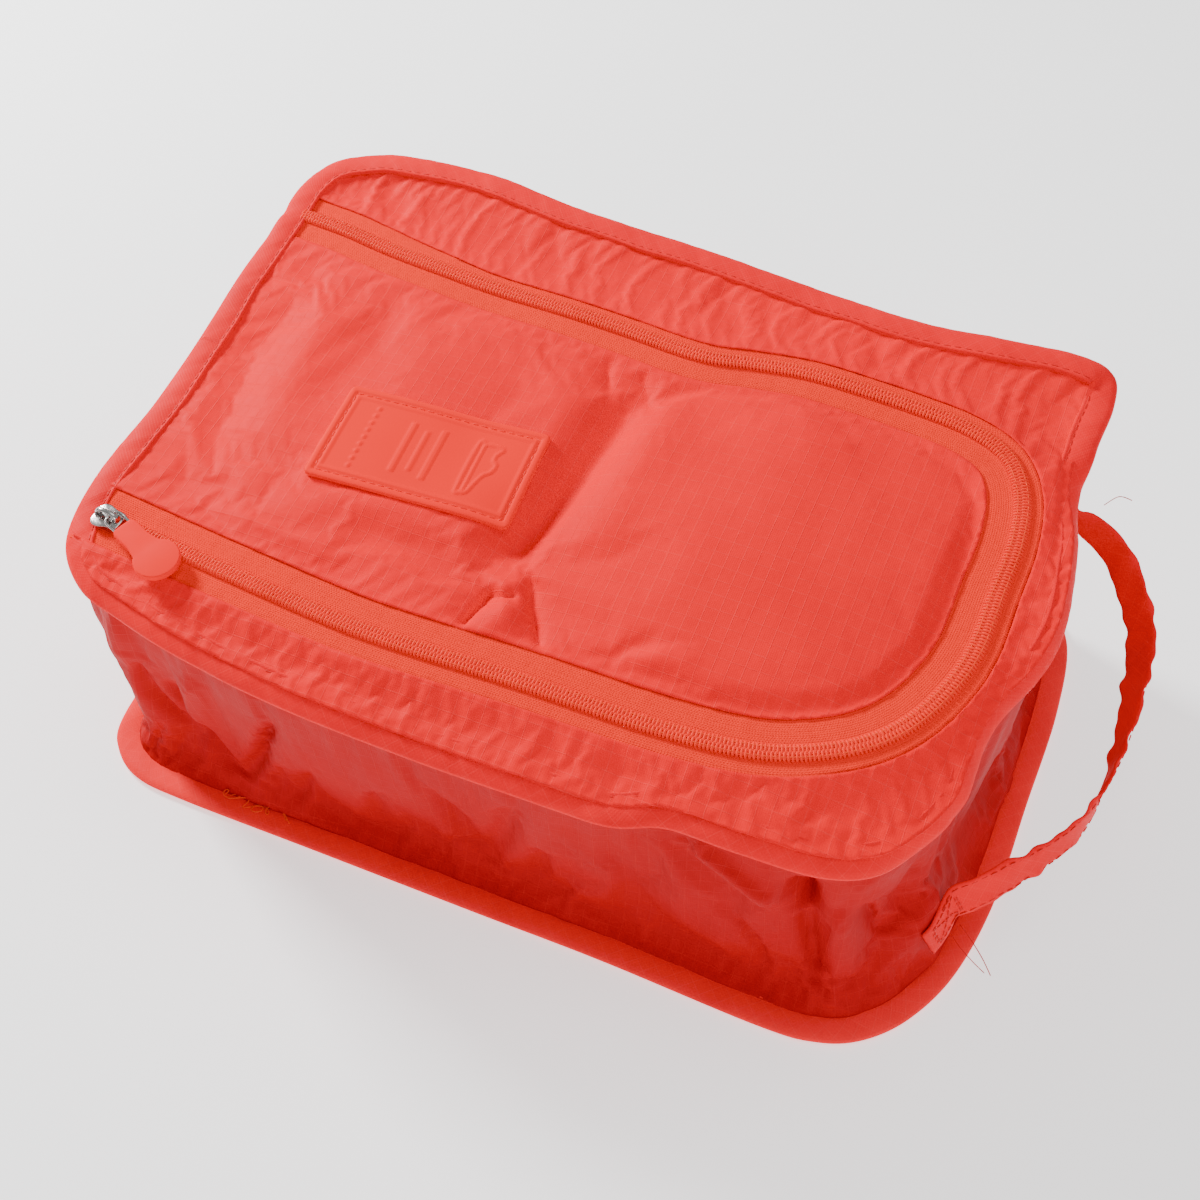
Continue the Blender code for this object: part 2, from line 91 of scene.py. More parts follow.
def resample(line, spacing, closed=False):
    """The same line cut into even steps of about spacing."""
    if closed:
        line = np.vstack([line, line[:1]])
    run = np.concatenate([[0], np.cumsum(np.linalg.norm(np.diff(line, axis=0), axis=1))])
    count = max(2, int(round(run[-1] / spacing)))
    at = np.linspace(0, run[-1], count + 1)
    if closed:
        at = at[:-1]
    return np.column_stack([np.interp(at, run, line[:, k]) for k in range(line.shape[1])])


def smooth_line(points, spacing, closed=False):
    """A smooth line through the points, in even steps."""
    p = np.array(points, float)
    if closed:
        p = np.vstack([p[-1:], p, p[:2]])
    else:
        p = np.vstack([2 * p[0] - p[1], p, 2 * p[-1] - p[-2]])
    t = np.linspace(0, 1, 16, endpoint=False)[:, None]
    parts = []
    for a, b, c, d in zip(p[:-3], p[1:-2], p[2:-1], p[3:]):
        parts.append(0.5 * (2 * b + (c - a) * t + (2 * a - 5 * b + 4 * c - d) * t ** 2
                            + (3 * b - a - 3 * c + d) * t ** 3))
    if not closed:
        parts.append(p[-2:-1])
    return resample(np.vstack(parts), spacing, closed)


def tangents(line, closed=False):
    """Unit directions along a line."""
    if closed:
        d = np.roll(line, -1, 0) - np.roll(line, 1, 0)
    else:
        d = np.gradient(line, axis=0)
    return unit(d)


def left_of(line, closed=False):
    """Unit sideways directions in the plane of the first two coordinates, to the left of the way."""
    t = tangents(line[:, :2], closed)
    return np.column_stack([-t[:, 1], t[:, 0]])


def run_length(line):
    """Distance along the line at each of its points."""
    return np.concatenate([[0], np.cumsum(np.linalg.norm(np.diff(line, axis=0), axis=1))])


def fit(values, count):
    """A few values spread evenly over a run, as one value for each of count points."""
    return np.interp(np.linspace(0, 1, count), np.linspace(0, 1, len(values)), values)


def waves(s, seed, lengths, closed_length=None):
    """A sum of sine waves of the given lengths with fixed random phases, from about -1 to 1."""
    rng = np.random.default_rng(seed)
    total = np.zeros(np.shape(s))
    for length in lengths:
        if closed_length:
            length = closed_length / max(1, round(closed_length / length))
        total += np.sin(2 * math.pi * (s / length + rng.random())) * rng.uniform(0.6, 1.0)
    return total / len(lengths)


# ---------------------------------------------------------------- outlines
ZIP_LINE = smooth_line(
    [(-151, 68.5), (-128, 66.5), (-107, 63), (-72, 59.3), (-42, 57.8), (-14, 56.3), (6, 54.4), (18, 54.6),
     (30, 57), (47, 59), (66, 58.6), (85, 57.5), (103, 54.6), (117, 48), (125, 35), (128, 17), (127.6, -3),
     (127, -24), (123.3, -40), (116, -55), (105, -66.5), (89, -75), (72, -79.3), (48, -81.1), (28, -81.25),
     (8, -81.4), (-34, -82.6), (-57, -81.8), (-104, -77.8), (-134, -75), (-142, -74.4)], 1.0)
ZIP_OUT = left_of(ZIP_LINE)
TAPE_SHOWS_OUT = [9.5, 9, 6, 5.8, 5.8, 6, 6, 6.2, 6.5, 6.8, 7, 7.5, 8, 8.6, 9, 9.4, 9.8]
FLAP_SEAM = 10.8

LID_EDGE = smooth_line(
    [(-150, 3, 0), (-153, 36, 0), (-153, 58, 0.5), (-154.5, 80, 1), (-149.5, 95, 1.5), (-139.5, 103, 2),
     (-122, 108, 2.5), (-88, 109.5, 2.5), (-54, 105, 1.5), (-24, 103, 1), (6, 101, 0.5), (36, 98, 0),
     (73, 95, 0), (102, 97, 0), (128, 99.5, -1), (140, 96.5, -3), (143, 84, -4), (142, 64, -3), (143, 46, -2),
     (148, 30, -1), (151, 12, 0), (152, -8, 0), (149, -24, -1), (142, -42, -2), (140.5, -58, -3),
     (140, -70, -4), (134, -84, -5), (124, -96, -6), (108, -103, -6), (84, -105.5, -4), (64, -106, -4),
     (48, -110.5, -6), (20, -112, -5), (-14, -112.5, -5), (-55, -112, -4), (-92, -108.5, -3),
     (-118, -103.5, -2), (-132, -99.5, -1), (-142.5, -90, 0), (-147.5, -76, 0), (-149.5, -56, 0),
     (-148.5, -28, 0)], 1.6, closed=True)
BASE_EDGE = smooth_line(
    [(-154, 0), (-154, 55), (-151, 88), (-140, 102.5), (-118, 106), (-60, 106), (0, 105.5), (70, 106),
     (116, 105), (140, 100), (154, 84), (158, 50), (157, 6), (156, -34), (151, -64), (142, -84.5),
     (130.5, -97.5), (117, -104), (98, -106), (45, -105), (0, -105.5), (-62, -106), (-112, -106.5),
     (-132, -105), (-144.5, -98), (-151.5, -86), (-154, -55)], 1.6, closed=True)
BASE_EDGE = np.column_stack([BASE_EDGE, np.full(len(BASE_EDGE), 1.55)])
BINDING_WIDTH = 10.0
GROOVE = 12  # the point of a binding's section where it is stitched down


def inside_of(edge, inset):
    """The closed edge moved inwards by inset, in the plane of its first two coordinates."""
    moved = edge.copy()
    moved[:, :2] -= left_of(edge, True) * inset
    return moved


# ---------------------------------------------------------------- meshes
def make_object(name, verts, faces, material, uv=None, smooth=True):
    """A mesh object in the frame's metres. uv gives each vertex a place on the flat cloth, in metres."""
    mesh = bpy.data.meshes.new(name)
    face_list = faces if isinstance(faces, list) else faces.tolist()
    mesh.from_pydata(np.asarray(verts, float).tolist(), [], face_list)
    mesh.validate()
    if uv is not None:
        corner = np.zeros(len(mesh.loops), int)
        mesh.loops.foreach_get("vertex_index", corner)
        layer = mesh.uv_layers.new(name="cloth")
        layer.data.foreach_set("uv", np.asarray(uv, np.float32)[corner].ravel())
    mesh.polygons.foreach_set("use_smooth", [smooth] * len(mesh.polygons))
    mesh.materials.append(material)
    mesh.update()
    obj = bpy.data.objects.new(name, mesh)
    bpy.context.scene.collection.objects.link(obj)
    return obj


def apply_modifiers(obj):
    """Makes what the modifiers show the object's own mesh."""
    bpy.context.view_layer.update()
    shown = obj.evaluated_get(bpy.context.evaluated_depsgraph_get())
    mesh = bpy.data.meshes.new_from_object(shown)
    obj.modifiers.clear()
    obj.data = mesh
    return obj


def thicken(obj, thickness, offset=0.0):
    """Gives cloth its thickness. offset -1 puts it all below the surface, 1 all above."""
    m = obj.modifiers.new("thickness", "SOLIDIFY")
    m.thickness, m.offset = thickness * MM, offset
    return apply_modifiers(obj)


def grid_faces(rows, cols, wrap_rows=False, wrap_cols=False):
    """Quads over a grid of rows by cols vertices."""
    r = np.arange(rows if wrap_rows else rows - 1)
    c = np.arange(cols if wrap_cols else cols - 1)
    i, j = np.meshgrid(r, c, indexing="ij")
    i2, j2 = (i + 1) % rows, (j + 1) % cols
    return np.stack([i * cols + j, i * cols + j2, i2 * cols + j2, i2 * cols + j], -1).reshape(-1, 4)


def sweep(name, place, side, up, section, material, closed=False, capped=True):
    """A closed section, points of (side, up) in millimetres, carried along a way. section is one section
    or one for each point of the way. place, side and up are in the frame's metres and directions."""
    section = np.asarray(section, float)
    if section.ndim == 2:
        section = np.repeat(section[None], len(place), 0)
    verts = place[:, None] + (section[:, :, :1] * side[:, None] + section[:, :, 1:] * up[:, None]) * MM
    rows, cols = section.shape[:2]
    faces = grid_faces(rows, cols, closed, True).tolist()
    if capped and not closed:
        faces += [list(range(cols))[::-1], [(rows - 1) * cols + k for k in range(cols)]]
    along = run_length(place)
    around = np.concatenate([[0], np.cumsum(np.linalg.norm(np.diff(section[0], axis=0), axis=1))]) * MM
    uv = np.stack(np.meshgrid(along, around, indexing="ij"), -1).reshape(-1, 2)
    return make_object(name, verts.reshape(-1, 3), faces, material, uv)


def round_section(radius_a, radius_b, count=12):
    """A round or oval section."""
    q = np.linspace(0, 2 * math.pi, count, endpoint=False)
    return np.column_stack([radius_a * np.cos(q), radius_b * np.sin(q)])


def copies(name, verts, faces, place, axes, material, smooth=True):
    """Many copies of one small shape as one mesh. axes holds, for each copy, its three directions."""
    verts, faces = np.asarray(verts, float), np.asarray(faces)
    all_verts = place[:, None] + np.einsum("vk,nkd->nvd", verts, axes) * MM
    shift = (np.arange(len(place)) * len(verts))[:, None, None]
    return make_object(name, all_verts.reshape(-1, 3), (faces[None] + shift).reshape(-1, faces.shape[1]),
                       material, smooth=smooth)


def bead(length, width, height, rings=5, sides=8, fullness=0.6):
    """A rounded grain lying along its first axis."""
    a = np.linspace(-1, 1, rings + 2)
    verts = []
    for t in a:
        r = max(0.02, (1 - abs(t) ** (2 / (1 - fullness))) ** 0.5) if abs(t) < 1 else 0.02
        for k in range(sides):
            q = 2 * math.pi * k / sides
            verts.append((t * length / 2, r * math.cos(q) * width / 2, r * math.sin(q) * height / 2))
    return np.array(verts), grid_faces(rings + 2, sides, False, True)


def cloth_patch(outline, spacing):
    """Even triangles that fill a closed outline. Returns their points and faces."""
    edge = resample(np.asarray(outline, float)[:, :2], spacing, True)
    lo, hi = edge.min(0), edge.max(0)
    rise = spacing * math.sqrt(3) / 2
    rows = np.arange(lo[1], hi[1], rise)
    cols = np.arange(lo[0], hi[0], spacing)
    pts = np.array([(x + (k % 2) * spacing / 2, y) for k, y in enumerate(rows) for x in cols])
    a, b = edge, np.roll(edge, -1, 0)
    inside = np.zeros(len(pts), bool)
    for (ax, ay), (bx, by) in zip(a, b):
        crosses = (ay > pts[:, 1]) != (by > pts[:, 1])
        if by != ay:
            inside ^= crosses & (pts[:, 0] < (bx - ax) * (pts[:, 1] - ay) / (by - ay) + ax)
    pts = pts[inside]
    pts = pts[distance_to(pts, edge) > spacing * 0.6]
    every = np.vstack([edge, pts])
    n = len(edge)
    made = delaunay_2d_cdt([Vector(p) for p in every], [(k, (k + 1) % n) for k in range(n)], [], 1, 1e-4)
    return np.array([tuple(p) for p in made[0]]), np.array([tuple(f) for f in made[2]])


def distance_to(pts, line):
    """Distance of each point to the nearest point of a line, in the plane."""
    best = np.full(len(pts), 1e9)
    for k in range(0, len(line), 200):
        d = np.linalg.norm(pts[:, None, :2] - line[None, k:k + 200, :2], axis=2)
        best = np.minimum(best, d.min(1))
    return best


def nearest_on(pts, line):
    """Index of the line's point nearest to each point, in the plane."""
    found = []
    for k in range(0, len(pts), 2000):
        found.append(np.linalg.norm(pts[k:k + 2000, None, :2] - line[None, :, :2], axis=2).argmin(1))
    return np.concatenate(found)


def edge_pairs(faces):
    """Every edge of the faces once."""
    e = np.vstack([faces[:, [k, (k + 1) % faces.shape[1]]] for k in range(faces.shape[1])])
    return np.unique(np.sort(e, 1), axis=0)


def relax(values, faces, held, times):
    """Evens out values over a mesh, with those of held vertices kept."""
    e = edge_pairs(faces)
    n = len(values)
    degree = np.bincount(e.ravel(), minlength=n).astype(float)
    v = values.copy()
    for _ in range(times):
        total = np.bincount(e[:, 0], v[e[:, 1]], n) + np.bincount(e[:, 1], v[e[:, 0]], n)
        v = np.where(held, v, total / degree)
    return v


def crease(pts, line, depth, width, sharp=False, fade=0.25):
    """Depth of a fold along a line: deepest on it, gone a few widths away, and fading at its ends."""
    line = smooth_line(line, 1.0)
    best = np.full(len(pts), 1e9)
    at = np.zeros(len(pts))
    for k in range(0, len(line), 60):
        d = np.linalg.norm(pts[:, None, :2] - line[None, k:k + 60], axis=2)
        closer = d.min(1) < best
        at = np.where(closer, (d.argmin(1) + k) / max(1, len(line) - 1), at)
        best = np.minimum(best, d.min(1))
    ends = np.clip(np.minimum(at, 1 - at) / fade, 0, 1)
    ends = ends * ends * (3 - 2 * ends) * 0.85 + 0.15
    shape = np.exp(-best / width) if sharp else np.exp(-(best / width) ** 2)
    return depth * shape * ends


def soft_step(x, lo, hi):
    """0 below lo, 1 above hi, smooth between."""
    t = np.clip((x - lo) / (hi - lo), 0, 1)
    return t * t * (3 - 2 * t)


def drape(p, faces, held, slack, frames, weight=0.3, cap=6.0, bending=0.02):
    """Lets cloth that is cut a little larger than its place settle into folds. p is in metres. held vertices
    stay, no vertex moves further than cap millimetres, and the result is the same each run."""
    obj = make_object("draping", p, np.asarray(faces), nylon)
    group = obj.vertex_groups.new(name="held")
    group.add(np.flatnonzero(held).tolist(), 1.0, "REPLACE")
    cloth = obj.modifiers.new("cloth", "CLOTH")
    sets = cloth.settings
    sets.quality, sets.mass, sets.air_damping = 6, 0.15, 4.0
    sets.tension_stiffness = sets.compression_stiffness = 15
    sets.shear_stiffness, sets.bending_stiffness = 5, bending
    sets.vertex_group_mass, sets.pin_stiffness = "held", 1.0
    sets.shrink_min = -slack
    sets.effector_weights.gravity = weight
    cloth.collision_settings.use_collision = False
    cloth.point_cache.frame_start, cloth.point_cache.frame_end = 1, frames
    scene = bpy.context.scene
    for frame_number in range(1, frames + 1):
        scene.frame_set(frame_number)
    shown = obj.evaluated_get(bpy.context.evaluated_depsgraph_get())
    settled = np.zeros(len(p) * 3)
    shown.data.vertices.foreach_get("co", settled)
    scene.frame_set(1)
    bpy.data.objects.remove(obj)
    move = settled.reshape(-1, 3) - p
    far = np.linalg.norm(move, axis=1)[:, None] / (cap * MM)
    return p + move / np.maximum(1, far ** 2 / (far + 1e-9))


# ---------------------------------------------------------------- materials
class Look:
    """A Principled material with its nodes. Constant values go on the shader's own sockets."""

    def __init__(self, name, colour, roughness, **sockets):
        self.material = bpy.data.materials.new(name)
        self.material.use_nodes = True
        self.tree = self.material.node_tree
        self.shader = self.tree.nodes["Principled BSDF"]
        self.shader.inputs["Base Color"].default_value = (*colour, 1)
        self.shader.inputs["Roughness"].default_value = roughness
        for key, value in sockets.items():
            self.shader.inputs[key.replace("_", " ")].default_value = value

    def node(self, kind, inputs=None, **props):
        """A new node. An input is a value or another node's output."""
        n = self.tree.nodes.new(kind)
        for key, value in props.items():
            setattr(n, key, value)
        for key, value in (inputs or {}).items():
            if isinstance(value, bpy.types.NodeSocket):
                self.tree.links.new(value, n.inputs[key])
            else:
                n.inputs[key].default_value = value
        return n

    def maths(self, how, a, b=0.0, c=0.0):
        """One sum on up to three values."""
        return self.node("ShaderNodeMath", {0: a, 1: b, 2: c}, operation=how).outputs[0]

    def cloth_uv(self):
        """The place on the flat cloth, in metres."""
        uv = self.node("ShaderNodeUVMap", uv_map="cloth")
        xyz = self.node("ShaderNodeSeparateXYZ", {0: uv.outputs[0]})
        return xyz.outputs[0], xyz.outputs[1]

    def stripes(self, along, pitch, share):
        """1 on thin lines that are pitch apart, 0 between them."""
        p = self.maths("PINGPONG", along, pitch / 2)
        return self.node("ShaderNodeMapRange", {0: p, 1: 0.0, 2: pitch * share, 3: 1.0, 4: 0.0},
                         interpolation_type="SMOOTHSTEP").outputs[0]

    def noise(self, scale, detail=3.0, rough=0.55):
        """Even noise through the object, of about scale grains in a metre."""
        place = self.node("ShaderNodeTexCoord").outputs["Object"]
        return self.node("ShaderNodeTexNoise",
                         {"Vector": place, "Scale": scale, "Detail": detail, "Roughness": rough}).outputs[0]

    def spread(self, value, lo, hi, a=0.3, b=0.7):
        """A value from a to b stretched over lo to hi."""
        return self.node("ShaderNodeMapRange", {0: value, 1: a, 2: b, 3: lo, 4: hi}).outputs[0]

    def mix(self, amount, a, b):
        """Colour a where amount is 0, b where it is 1."""
        n = self.node("ShaderNodeMix", {0: amount}, data_type="RGBA")
        for key, value in ((6, a), (7, b)):
            if isinstance(value, bpy.types.NodeSocket):
                self.tree.links.new(value, n.inputs[key])
            else:
                n.inputs[key].default_value = (*value, 1)
        return n.outputs[2]

    def bump(self, height, distance, strength=1.0, after=None):
        """A raised relief, added to the one before it."""
        inputs = {"Height": height, "Distance": distance, "Strength": strength}
        if after is not None:
            inputs["Normal"] = after
        return self.node("ShaderNodeBump", inputs).outputs[0]

    def finish(self, colour=None, roughness=None, normal=None):
        """Links what is made of nodes and returns the material."""
        for key, value in (("Base Color", colour), ("Roughness", roughness), ("Normal", normal)):
            if value is not None:
                self.tree.links.new(value, self.shader.inputs[key])
        return self.material


RIPSTOP_CELL = 0.0043  # metres between the stronger threads
WEAVE_PITCH = 0.00062  # metres between the ordinary ones


def toned(colour, factor):
    """The colour made darker or lighter."""
    return [min(1, c * factor) for c in colour]


def cloth_look(name, colour, rough, sheen, sheen_rough, specular):
    """The start of a cloth or thread, whose sheen and gloss take a tint of its own red."""
    return Look(name, colour, rough, Sheen_Weight=sheen, Sheen_Roughness=sheen_rough, Sheen_Tint=SHEEN_TINT,
                Specular_Tint=GLOSS_TINT, Specular_IOR_Level=specular)


def ripstop(name, colour, light, rough, sheen, specular):
    """Thin nylon with its stronger threads as a grid of paler lines, and a fine plain weave."""
    k = cloth_look(name, colour, rough, sheen, 0.45, specular)
    u, v = k.cloth_uv()
    across, along = k.stripes(u, RIPSTOP_CELL, 0.055), k.stripes(v, RIPSTOP_CELL * 1.07, 0.055)
    grid = k.maths("MAXIMUM", across, along)
    broken = k.spread(k.noise(420, 2), 0.25, 1.0)
    shown = k.maths("MULTIPLY", grid, broken)
    weave = k.maths("MULTIPLY", k.stripes(u, WEAVE_PITCH, 0.5), k.stripes(v, WEAVE_PITCH, 0.5))
    mottled = k.mix(k.spread(k.noise(26, 4), 0.0, 1.0), toned(colour, 0.93), toned(colour, 1.05))
    fine = k.mix(k.maths("MULTIPLY", weave, 0.10), mottled, light)
    painted = k.mix(k.maths("MULTIPLY", shown, 0.4), fine, light)
    normal = k.bump(grid, 0.00012, 0.5)
    normal = k.bump(weave, 0.00006, 0.6, normal)
    normal = k.bump(k.noise(160, 3), 0.0006, 0.3, normal)
    normal = k.bump(k.noise(52, 4), 0.0022, 0.32, normal)
    rough_map = k.spread(k.noise(55, 3), rough - 0.07, rough + 0.08)
    return k.finish(painted, rough_map, normal)


def bias_cloth(name, colour, light):
    """The same nylon cut on the slant, doubled for bindings and webbing."""
    k = cloth_look(name, colour, 0.56, 0.10, 0.45, 0.08)
    u, v = k.cloth_uv()
    a, b = k.maths("ADD", u, v), k.maths("SUBTRACT", u, v)
    ribs = k.maths("MULTIPLY", k.stripes(a, 0.0013, 0.5), k.stripes(b, 0.0013, 0.5))
    grid = k.maths("MAXIMUM", k.stripes(a, 0.0064, 0.04), k.stripes(b, 0.0064, 0.04))
    mottled = k.mix(k.spread(k.noise(45, 4), 0.0, 1.0), toned(colour, 0.9), toned(colour, 1.06))
    painted = k.mix(k.maths("MULTIPLY", grid, 0.3), mottled, light)
    painted = k.mix(k.maths("MULTIPLY", ribs, 0.10), painted, light)
    normal = k.bump(ribs, 0.00008, 0.6)
    normal = k.bump(k.noise(190, 3), 0.0006, 0.3, normal)
    return k.finish(painted, k.spread(k.noise(70, 3), 0.5, 0.66), normal)


def knit(name, colour, light):
    """Knitted zip tape: fine ribs along it crossed by small loops."""
    k = cloth_look(name, colour, 0.8, 0.05, 0.6, 0.06)
    u, v = k.cloth_uv()
    zigzag = k.maths("PINGPONG", v, 0.0006)
    loops = k.maths("MULTIPLY", k.stripes(k.maths("ADD", u, zigzag), 0.0009, 0.5), k.stripes(v, 0.0007, 0.5))
    fuzz = k.noise(900, 3, 0.6)
    painted = k.mix(k.maths("MULTIPLY", loops, 0.3), colour, light)
    painted = k.mix(k.maths("MULTIPLY", k.spread(fuzz, 0.0, 1.0), 0.35), painted, toned(colour, 0.8))
    normal = k.bump(loops, 0.00022, 0.8)
    normal = k.bump(fuzz, 0.0003, 0.4, normal)
    return k.finish(painted, None, normal)


def moulded(name, colour, rough, speck, depth, tone, specular):
    """Moulded rubber or plastic: nearly even colour, a fine grain and slight handling marks."""
    k = Look(name, colour, rough, Specular_IOR_Level=specular, Specular_Tint=GLOSS_TINT)
    grain = k.noise(speck, 3)
    cloud = k.spread(k.noise(60, 3), 0.0, 1.0)
    painted = k.mix(cloud, toned(colour, 1 - tone), toned(colour, 1 + tone))
    return k.finish(painted, k.spread(k.noise(120, 3), rough - 0.06, rough + 0.07), k.bump(grain, depth, 0.5))


def thread_look(name, colour):
    """Sewing thread, a little glossy, with its twist."""
    k = cloth_look(name, colour, 0.5, 0.15, 0.5, 0.25)
    place = k.node("ShaderNodeTexCoord").outputs["Object"]
    twist = k.node("ShaderNodeTexWave", {"Vector": place, "Scale": 900.0, "Distortion": 1.5}).outputs["Fac"]
    painted = k.mix(twist, toned(colour, 0.8), toned(colour, 1.1))
    return k.finish(painted, None, k.bump(twist, 0.0001, 0.4))


def plated(name):
    """Bright nickel plating with faint wear."""
    k = Look(name, (0.45, 0.43, 0.41), 0.16, Metallic=1.0)
    wear = k.spread(k.noise(700, 4), 0.1, 0.3)
    painted = k.mix(k.spread(k.noise(260, 3), 0, 1), (0.36, 0.34, 0.33), (0.52, 0.5, 0.48))
    return k.finish(painted, wear, k.bump(k.noise(1400, 2), 0.00002, 0.4))


SHEEN_TINT = (1.0, 0.16, 0.12, 1)
GLOSS_TINT = (1.0, 0.30, 0.26, 1)
CORAL = (0.93, 0.002, 0.009)
CORAL_LIGHT = (1.0, 0.065, 0.06)
nylon = ripstop("nylon", CORAL, CORAL_LIGHT, rough=0.55, sheen=0.03, specular=0.07)
# The wall's nylon is a darker copy of the lid's nylon, with dimmer grid lines: painted shade for the smaller
# share of light that falls on the walls.
shaded_wall_nylon = ripstop("nylon_wall_painted_shade", (0.46, 0.004, 0.008), (0.66, 0.022, 0.022), rough=0.52, sheen=0.0,
                     specular=0.05)
binding_cloth = bias_cloth("binding", (0.88, 0.003, 0.011), (1.0, 0.05, 0.05))
# The base binding's cloth is a paler copy of the lid binding's: painted light, for the brightness the band
# takes from the white floor round it.
lit_base_binding_cloth = bias_cloth("base_binding", (1.0, 0.018, 0.024), (1.0, 0.08, 0.075))
tape_knit = knit("zip_tape_knit", (1.0, 0.022, 0.008), (1.0, 0.055, 0.02))
coil_plastic = moulded("coil_nylon", (1.0, 0.030, 0.013), 0.42, 2400, 0.00003, 0.08, 0.15)
rubber = moulded("label_rubber", (1.0, 0.010, 0.006), 0.6, 1700, 0.00005, 0.03, 0.07)
tab_rubber = moulded("tab_rubber", (1.0, 0.010, 0.008), 0.6, 1700, 0.00004, 0.03, 0.08)
# This thread is darker than the cloth it sews: a painted shadow standing in for the shade in the stitched
# grooves.
thread = thread_look("sewing_thread_painted_shade", (0.66, 0.006, 0.008))
label_sewing = thread_look("label_thread", (1.0, 0.012, 0.008))
orange_thread = thread_look("orange_thread", (1.0, 0.06, 0.01))
chrome = plated("plated_zinc")

# ---------------------------------------------------------------- the bindings


def binding_section(count, top, bottom, seed, s, width=BINDING_WIDTH, flat_below=False):
    """The folded strip's section at each point of its way: (side, up), side 0 at the fold, inwards positive.
    It is thin where it is stitched down near its inner edge and full near its fold."""
    puff = 0.35 * waves(s, seed, [23, 37, 61], s[-1])
    pull = 0.45 * waves(s, seed + 1, [31, 53], s[-1])
    rows = []
    for k in range(count):
        w = width + pull[k]
        t, b = top + puff[k], bottom - (0 if flat_below else 0.5 * puff[k])
        rows.append([(w, b * 0.55), (w - 1.5, b * 0.62), (w * 0.6, b), (w * 0.28, b), (0.8, b * 0.72),
                     (0.12, b * 0.2), (0.12, t * 0.25), (0.8, t * 0.75), (w * 0.25, t), (w * 0.45, t * 1.04),
                     (w * 0.66, t * 0.92), (w - 1.9, t * 0.66), (w - 1.4, t * 0.55), (w - 0.9, t * 0.68),
                     (w - 0.25, t * 0.74), (w, t * 0.5)])
    return np.array(rows)


def closed_run(line):
    """Distance along a closed line at each point, with the whole length as its last value."""
    step = np.linalg.norm(np.roll(line, -1, 0) - line, axis=1)
    return np.concatenate([[0], np.cumsum(step)])


def edge_frames(edge):
    """Inward and upward directions along a closed edge, in its own coordinates."""
    inward = np.column_stack([-left_of(edge, True), np.zeros(len(edge))])
    along = tangents(edge, True)
    up = np.cross(inward, along)
    up = unit(up)
    return inward, np.where(up[:, 2:] < 0, -up, up)


def slant_wrinkles(section, s, seed, depth):
    """Small slanting puckers on the upper side of a bias-cut strip."""
    side = section[:, :, 0]
    phase = s[:, None] - side * 0.9
    made = waves(phase, seed, [5.2, 7.9, 12.5]) * depth
    section[:, :, 1] += np.where(section[:, :, 1] > 0.4, made * np.exp(-((side - 5) / 4.5) ** 2), 0)
    return section


lid_run = closed_run(LID_EDGE)
lid_in, lid_up = edge_frames(LID_EDGE)
lid_section = binding_section(len(LID_EDGE), 1.5, -1.6, 3, lid_run[:-1])
lid_section = slant_wrinkles(lid_section, lid_run[:-1], 9, 0.28)
PINCHES = [((50, -110), 9.0, 2.2), ((66, -106), 6.0, -1.6), ((-148, 60), 5.0, 1.2), ((141, 60), 6.0, 1.6),
           ((141, -62), 6.0, 1.2), ((-70, -110), 8.0, 1.0)]
for (pu, pv), length, size in PINCHES:
    k = int(np.argmin(np.linalg.norm(LID_EDGE[:, :2] - (pu, pv), axis=1)))
    off = (lid_run[:-1] - lid_run[k])[:, None]
    beside = np.exp(-((off - 1.5 * length) / (0.6 * length)) ** 2)
    bend = 0.6 * size * (np.exp(-(off / length) ** 2) - 0.9 * beside)
    lid_section[:, :, 1] += bend * np.clip(1 - lid_section[:, :, 0] / BINDING_WIDTH, 0.1, 1)

# the binding hangs over at the front and still more at the right, turning about its inner edge
lid_droop = np.radians(24 * soft_step(lid_in[:, 1], 0.2, 0.9) + 46 * soft_step(-lid_in[:, 0], 0.3, 0.95)
                       * soft_step(70 - LID_EDGE[:, 1], 0, 40) + 4)
for _ in range(30):
    lid_droop = (np.roll(lid_droop, 1) + lid_droop + np.roll(lid_droop, -1)) / 3


def hang(section, droop):
    """Turns each section down about its inner edge."""
    turned = section.copy()
    reach = BINDING_WIDTH - section[:, :, 0]
    c, q = np.cos(droop)[:, None], np.sin(droop)[:, None]
    turned[:, :, 0] = BINDING_WIDTH - reach * c - section[:, :, 1] * q
    turned[:, :, 1] = section[:, :, 1] * c - reach * q
    return turned


lid_section = hang(lid_section, lid_droop)
lid_binding = sweep("lid_binding_cloth", to_world(LID_EDGE), lid_in @ LID_AXES, lid_up @ LID_AXES,
                    lid_section, binding_cloth, closed=True)

base_run = closed_run(BASE_EDGE)
base_in, base_up = edge_frames(BASE_EDGE)
base_section = binding_section(len(BASE_EDGE), 1.3, -1.3, 5, base_run[:-1], flat_below=True)
base_section = slant_wrinkles(base_section, base_run[:-1], 11, 0.15)
base_binding = sweep("base_binding_cloth", BASE_EDGE * MM, base_in, base_up, base_section, lit_base_binding_cloth,
                     closed=True)


def stitches(name, line, up, material, length=2.7, gap=0.8, radius=0.27, sink=0.1):
    """A run of separate stitches along a line, in the frame's metres. up is one direction for each point."""
    run = run_length(line) / MM
    at = np.arange(length / 2 + 0.5, run[-1] - length / 2, length + gap)
    place = np.column_stack([np.interp(at, run, line[:, k]) for k in range(3)])
    ahead = np.column_stack([np.interp(at + 0.5, run, line[:, k]) for k in range(3)])
    along = ahead - place
    along = unit(along)
    rise = np.column_stack([np.interp(at, run, up[:, k]) for k in range(3)])
    side = np.cross(rise, along)
    side = unit(side)
    rise = np.cross(along, side)
    verts, faces = bead(length, radius * 2, radius * 2, 5, 6)
    place = place - rise * sink * MM
    return copies(name, verts, faces, place, np.stack([along, side, rise], 1), material)


